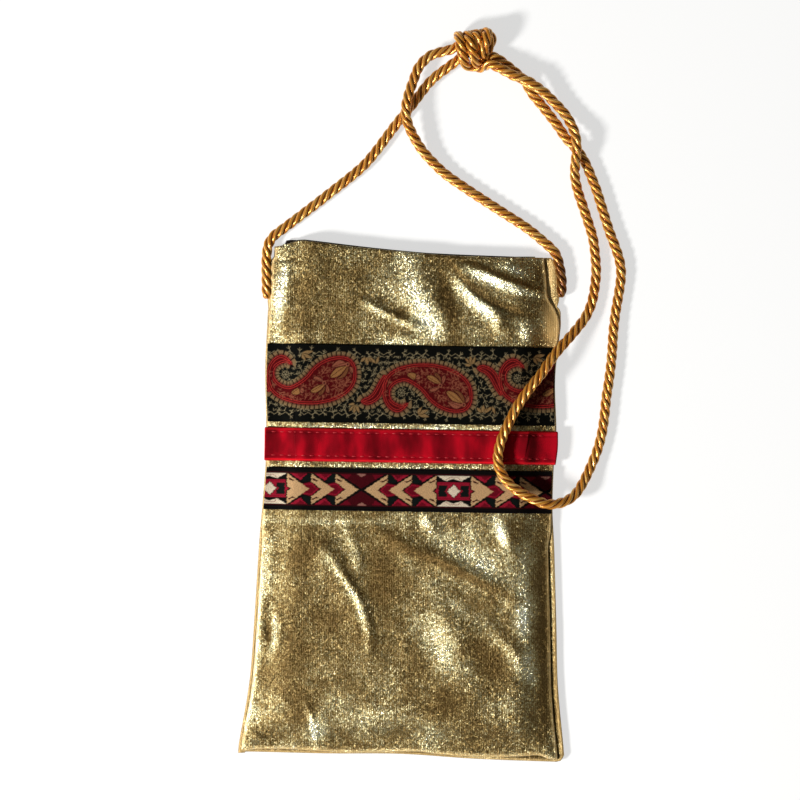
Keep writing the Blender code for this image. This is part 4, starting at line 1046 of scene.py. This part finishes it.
def make_ribbon(node, name, net, width, thickness, material, slot, relief):
    """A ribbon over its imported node; relief(places) gives its colours and how far its threads rise."""
    columns, rows = net
    edges = top_outline(node)
    flat = net_between(edges, columns, rows)
    rise = height_on(node, net_between(edges, 60, 5))
    for count in (columns, rows):
        at = np.linspace(0, rise.shape[1] - 1, count)
        rise = np.stack([np.interp(at, np.arange(rise.shape[1]), row) for row in rise]).T
    rise = blurred(rise, 3.0)
    across = np.broadcast_to(np.linspace(-0.5, 0.5, rows)[:, None] * width, flat.shape[:2])
    places = np.dstack([flat[:, :, 0] * 1000, across])
    shades, lift = relief(places.reshape(-1, 2))
    top = np.dstack([flat, rise + lift.reshape(rise.shape) / 1000])
    item = lay_sheet(name, node, slot, top, material, thickness, places)
    if shades is not None:
        everywhere = np.ones((len(item.data.vertices), 4), np.float32)
        everywhere[:, :3] = shades[0]
        everywhere[:len(shades), :3] = shades
        layer = item.data.attributes.new("weave", "FLOAT_COLOR", "POINT")
        layer.data.foreach_set("color", everywhere.ravel())
    return top


def weave_material(name, thread):
    s = Shading(name)
    uv = s.uv()
    weft = s.wave(uv, 0.31 / thread, "Y")
    floats = s.noise(s.place(uv, (0.9 / thread, 1.8 / thread, 1)), 1.0, 2.0, 0.6)
    fuzz = s.noise(uv, 2.4, 3.0, 0.6)
    light = s.ramp(floats, (0.3, (0.38, 0.36, 0.34, 1)), (0.7, (1.3, 1.3, 1.28, 1)))
    lit = s.mix(1.0, s.kept("weave", 0), light, "MULTIPLY")
    shade = s.mix(s.range(weft, 0.0, 0.5, 0.42, 0.0), lit, (0.003, 0.002, 0.002, 1))
    height = s.math("ADD", weft, s.math("MULTIPLY", floats, 1.5))
    normal = s.bump(height, 0.00010, Normal=s.bump(fuzz, 0.00005))
    return s.finish(Base_Color=shade, Roughness=s.range(fuzz, 0.3, 0.7, 0.5, 0.8), Normal=normal,
                    Specular_IOR_Level=0.05)


def velvet_material():
    s = Shading("velvet")
    uv = s.uv()
    brushed = s.noise(s.place(uv, (0.13, 0.05, 1), (0, 0, 0.16)), 1.0, 2.0, 0.45)
    pile = s.noise(uv, 5.0, 2.0, 0.7)
    shade = s.ramp(brushed, (0.34, colour(104, 0, 10)), (0.48, colour(140, 2, 20)),
                   (0.62, colour(184, 4, 28)))
    shade = s.mix(s.range(pile, 0.35, 0.65, 0.0, 0.25), shade, colour(74, 0, 8))
    off = s.math("ABSOLUTE", s.part(uv, 1))
    shade = s.mix(s.range(off, VELVET_WIDTH / 2 - 0.9, VELVET_WIDTH / 2 - 0.3), shade, colour(222, 20, 32))
    return s.finish(Base_Color=shade, Roughness=0.95, Specular_IOR_Level=0.1, Normal=s.bump(pile, 0.00015),
                    Sheen_Weight=0.15, Sheen_Roughness=0.35, Sheen_Tint=(1.0, 0.25, 0.3, 1))


def make_ribbons():
    make_ribbon("paisley_ribbon", "paisley_brocade", (560, 134), 34.8, 0.0006,
                weave_material("brocade", 0.42), "brocade", paint_brocade)
    make_ribbon("geometric_ribbon", "geometric_band", (588, 76), 18.6, 0.0008,
                weave_material("woven_band", 0.38), "woven_band", paint_band)
    return make_ribbon("velvet_ribbon", "velvet_band", (430, 52), VELVET_WIDTH, 0.0012,
                       velvet_material(), "velvet", shape_velvet)


# Sewing threads
def stitches(name, node, slot, line, pitch, length, thickness, material, sides=6):
    """A row of stitches along a line of points, each a short thread whose ends dip into the cloth."""
    run = evenly(line, 0.0002)
    step = len(run) / lengths(run)[-1]
    shares = np.linspace(-1, 1, 7)
    points, faces = [], []
    for number in range(int(len(run) / step / pitch)):
        base, middle = len(points), (number + 0.5) * pitch * step
        for share in shares:
            at = min(max(int(middle + share * length / 2 * step), 1), len(run) - 2)
            along = run[at + 1] - run[at - 1]
            side = np.cross(along, (0, 0, 1))
            side /= np.linalg.norm(side)
            up = np.cross(side, along / np.linalg.norm(along))
            swell = math.sqrt(max(1 - share ** 2, 0.04)) * thickness / 2
            centre = run[at] + up * thickness * (0.2 - 0.5 * share ** 2)
            for x, y in (heading(360 * k / sides) for k in range(sides)):
                points.append(centre + swell * (x * side + y * up))
        for a in range(base, len(points) - sides):
            b = a + 1 if (a + 1 - base) % sides else a + 1 - sides
            faces.append([a, b, b + sides, a + sides])
        faces += [list(range(base, base + sides))[::-1], list(range(len(points) - sides, len(points)))]
    item = add_object(name, [tuple(point) for point in points], faces, material)
    belongs(item, slot, node)


def thread_material(name, shade):
    s = Shading(name)
    fibre = s.noise(s.node("TexCoord", "Object"), 5000.0, 2.0)
    dark = tuple(channel * 0.6 for channel in shade[:3]) + (1,)
    return s.finish(Base_Color=s.mix(fibre, dark, shade), Roughness=0.5, Normal=s.bump(fibre, 0.00003))


def row_at(net, share):
    """The line of a net that lies at the share of its height."""
    at = share * (len(net) - 1)
    low = min(int(at), len(net) - 2)
    return net[low] + (net[low + 1] - net[low]) * (at - low)


def make_threads(velvet_top, front_top):
    red = thread_material("red_thread", colour(196, 24, 38))
    gold = thread_material("gold_thread", colour(176, 150, 96))
    upper, lower = (row / VELVET_WIDTH for row in STITCH_ROWS)
    for place, share in (("upper", 1 - upper), ("lower", lower)):
        stitches("velvet_stitches_" + place, "velvet_stitch_" + place, "red_thread",
                 row_at(velvet_top, share)[6:-6], 0.0038, 0.0022, 0.0005, red)
    stitches("mouth_stitches", "mouth_stitch", "gold_thread", row_at(front_top, 1 - MOUTH_ROW)[3:-3],
             0.0021, 0.0013, 0.00045, gold)


# Stage
def make_floor():
    s = Shading("floor")
    rays = s.node("LightPath").node
    direct = s.math("MAXIMUM", rays.outputs["Is Camera Ray"],
                    s.math("MAXIMUM", rays.outputs["Is Glossy Ray"], rays.outputs["Is Transmission Ray"]))
    s.finish(Base_Color=(0.42, 0.42, 0.42, 1), Roughness=0.9, Specular_IOR_Level=0.0,
             Emission_Color=(1, 1, 1, 1), Emission_Strength=s.math("MULTIPLY", direct, 0.64))
    net = bmesh.new()
    bmesh.ops.create_grid(net, x_segments=1, y_segments=1, size=3.0)
    mesh = bpy.data.meshes.new("floor")
    net.to_mesh(mesh)
    net.free()
    mesh.materials.append(s.material)
    floor = in_scene("floor", mesh)
    floor.location = (0, 0, -0.0002)


def make_camera():
    camera = in_scene("camera", bpy.data.cameras.new("camera"))
    camera.data.sensor_width = SENSOR
    camera.data.lens = SENSOR * CAMERA_DISTANCE / VIEW_SIDE
    camera.data.clip_end = 20
    camera.location = (*VIEW_CENTRE, SHARP_HEIGHT + CAMERA_DISTANCE)
    bpy.context.scene.camera = camera


def make_light():
    """A soft key light that looks at the pouch from the lower left, and a faint light from all round."""
    key = in_scene("key", bpy.data.lights.new("key", "AREA"))
    key.data.size, key.data.energy, key.data.color = 0.24, 37, (1.0, 0.985, 0.96)
    turn, rise = math.radians(205), math.radians(37)
    away = Vector((math.cos(turn) * math.cos(rise), math.sin(turn) * math.cos(rise), math.sin(rise)))
    key.location = Vector((0, 0.03, 0)) + away * 1.6
    key.rotation_euler = (-away).to_track_quat("-Z", "Y").to_euler()
    world = bpy.data.worlds.new("studio")
    world.use_nodes = True
    bpy.context.scene.world = world
    background = world.node_tree.nodes["Background"].inputs
    background["Color"].default_value = (0.98, 1, 0.9, 1)
    background["Strength"].default_value = 0.13


make_camera()
make_light()
make_floor()
make_strap()
front_top = make_panels()
velvet_top = make_ribbons()
make_threads(velvet_top, front_top)

bpy.context.scene.view_settings.view_transform = "Standard"
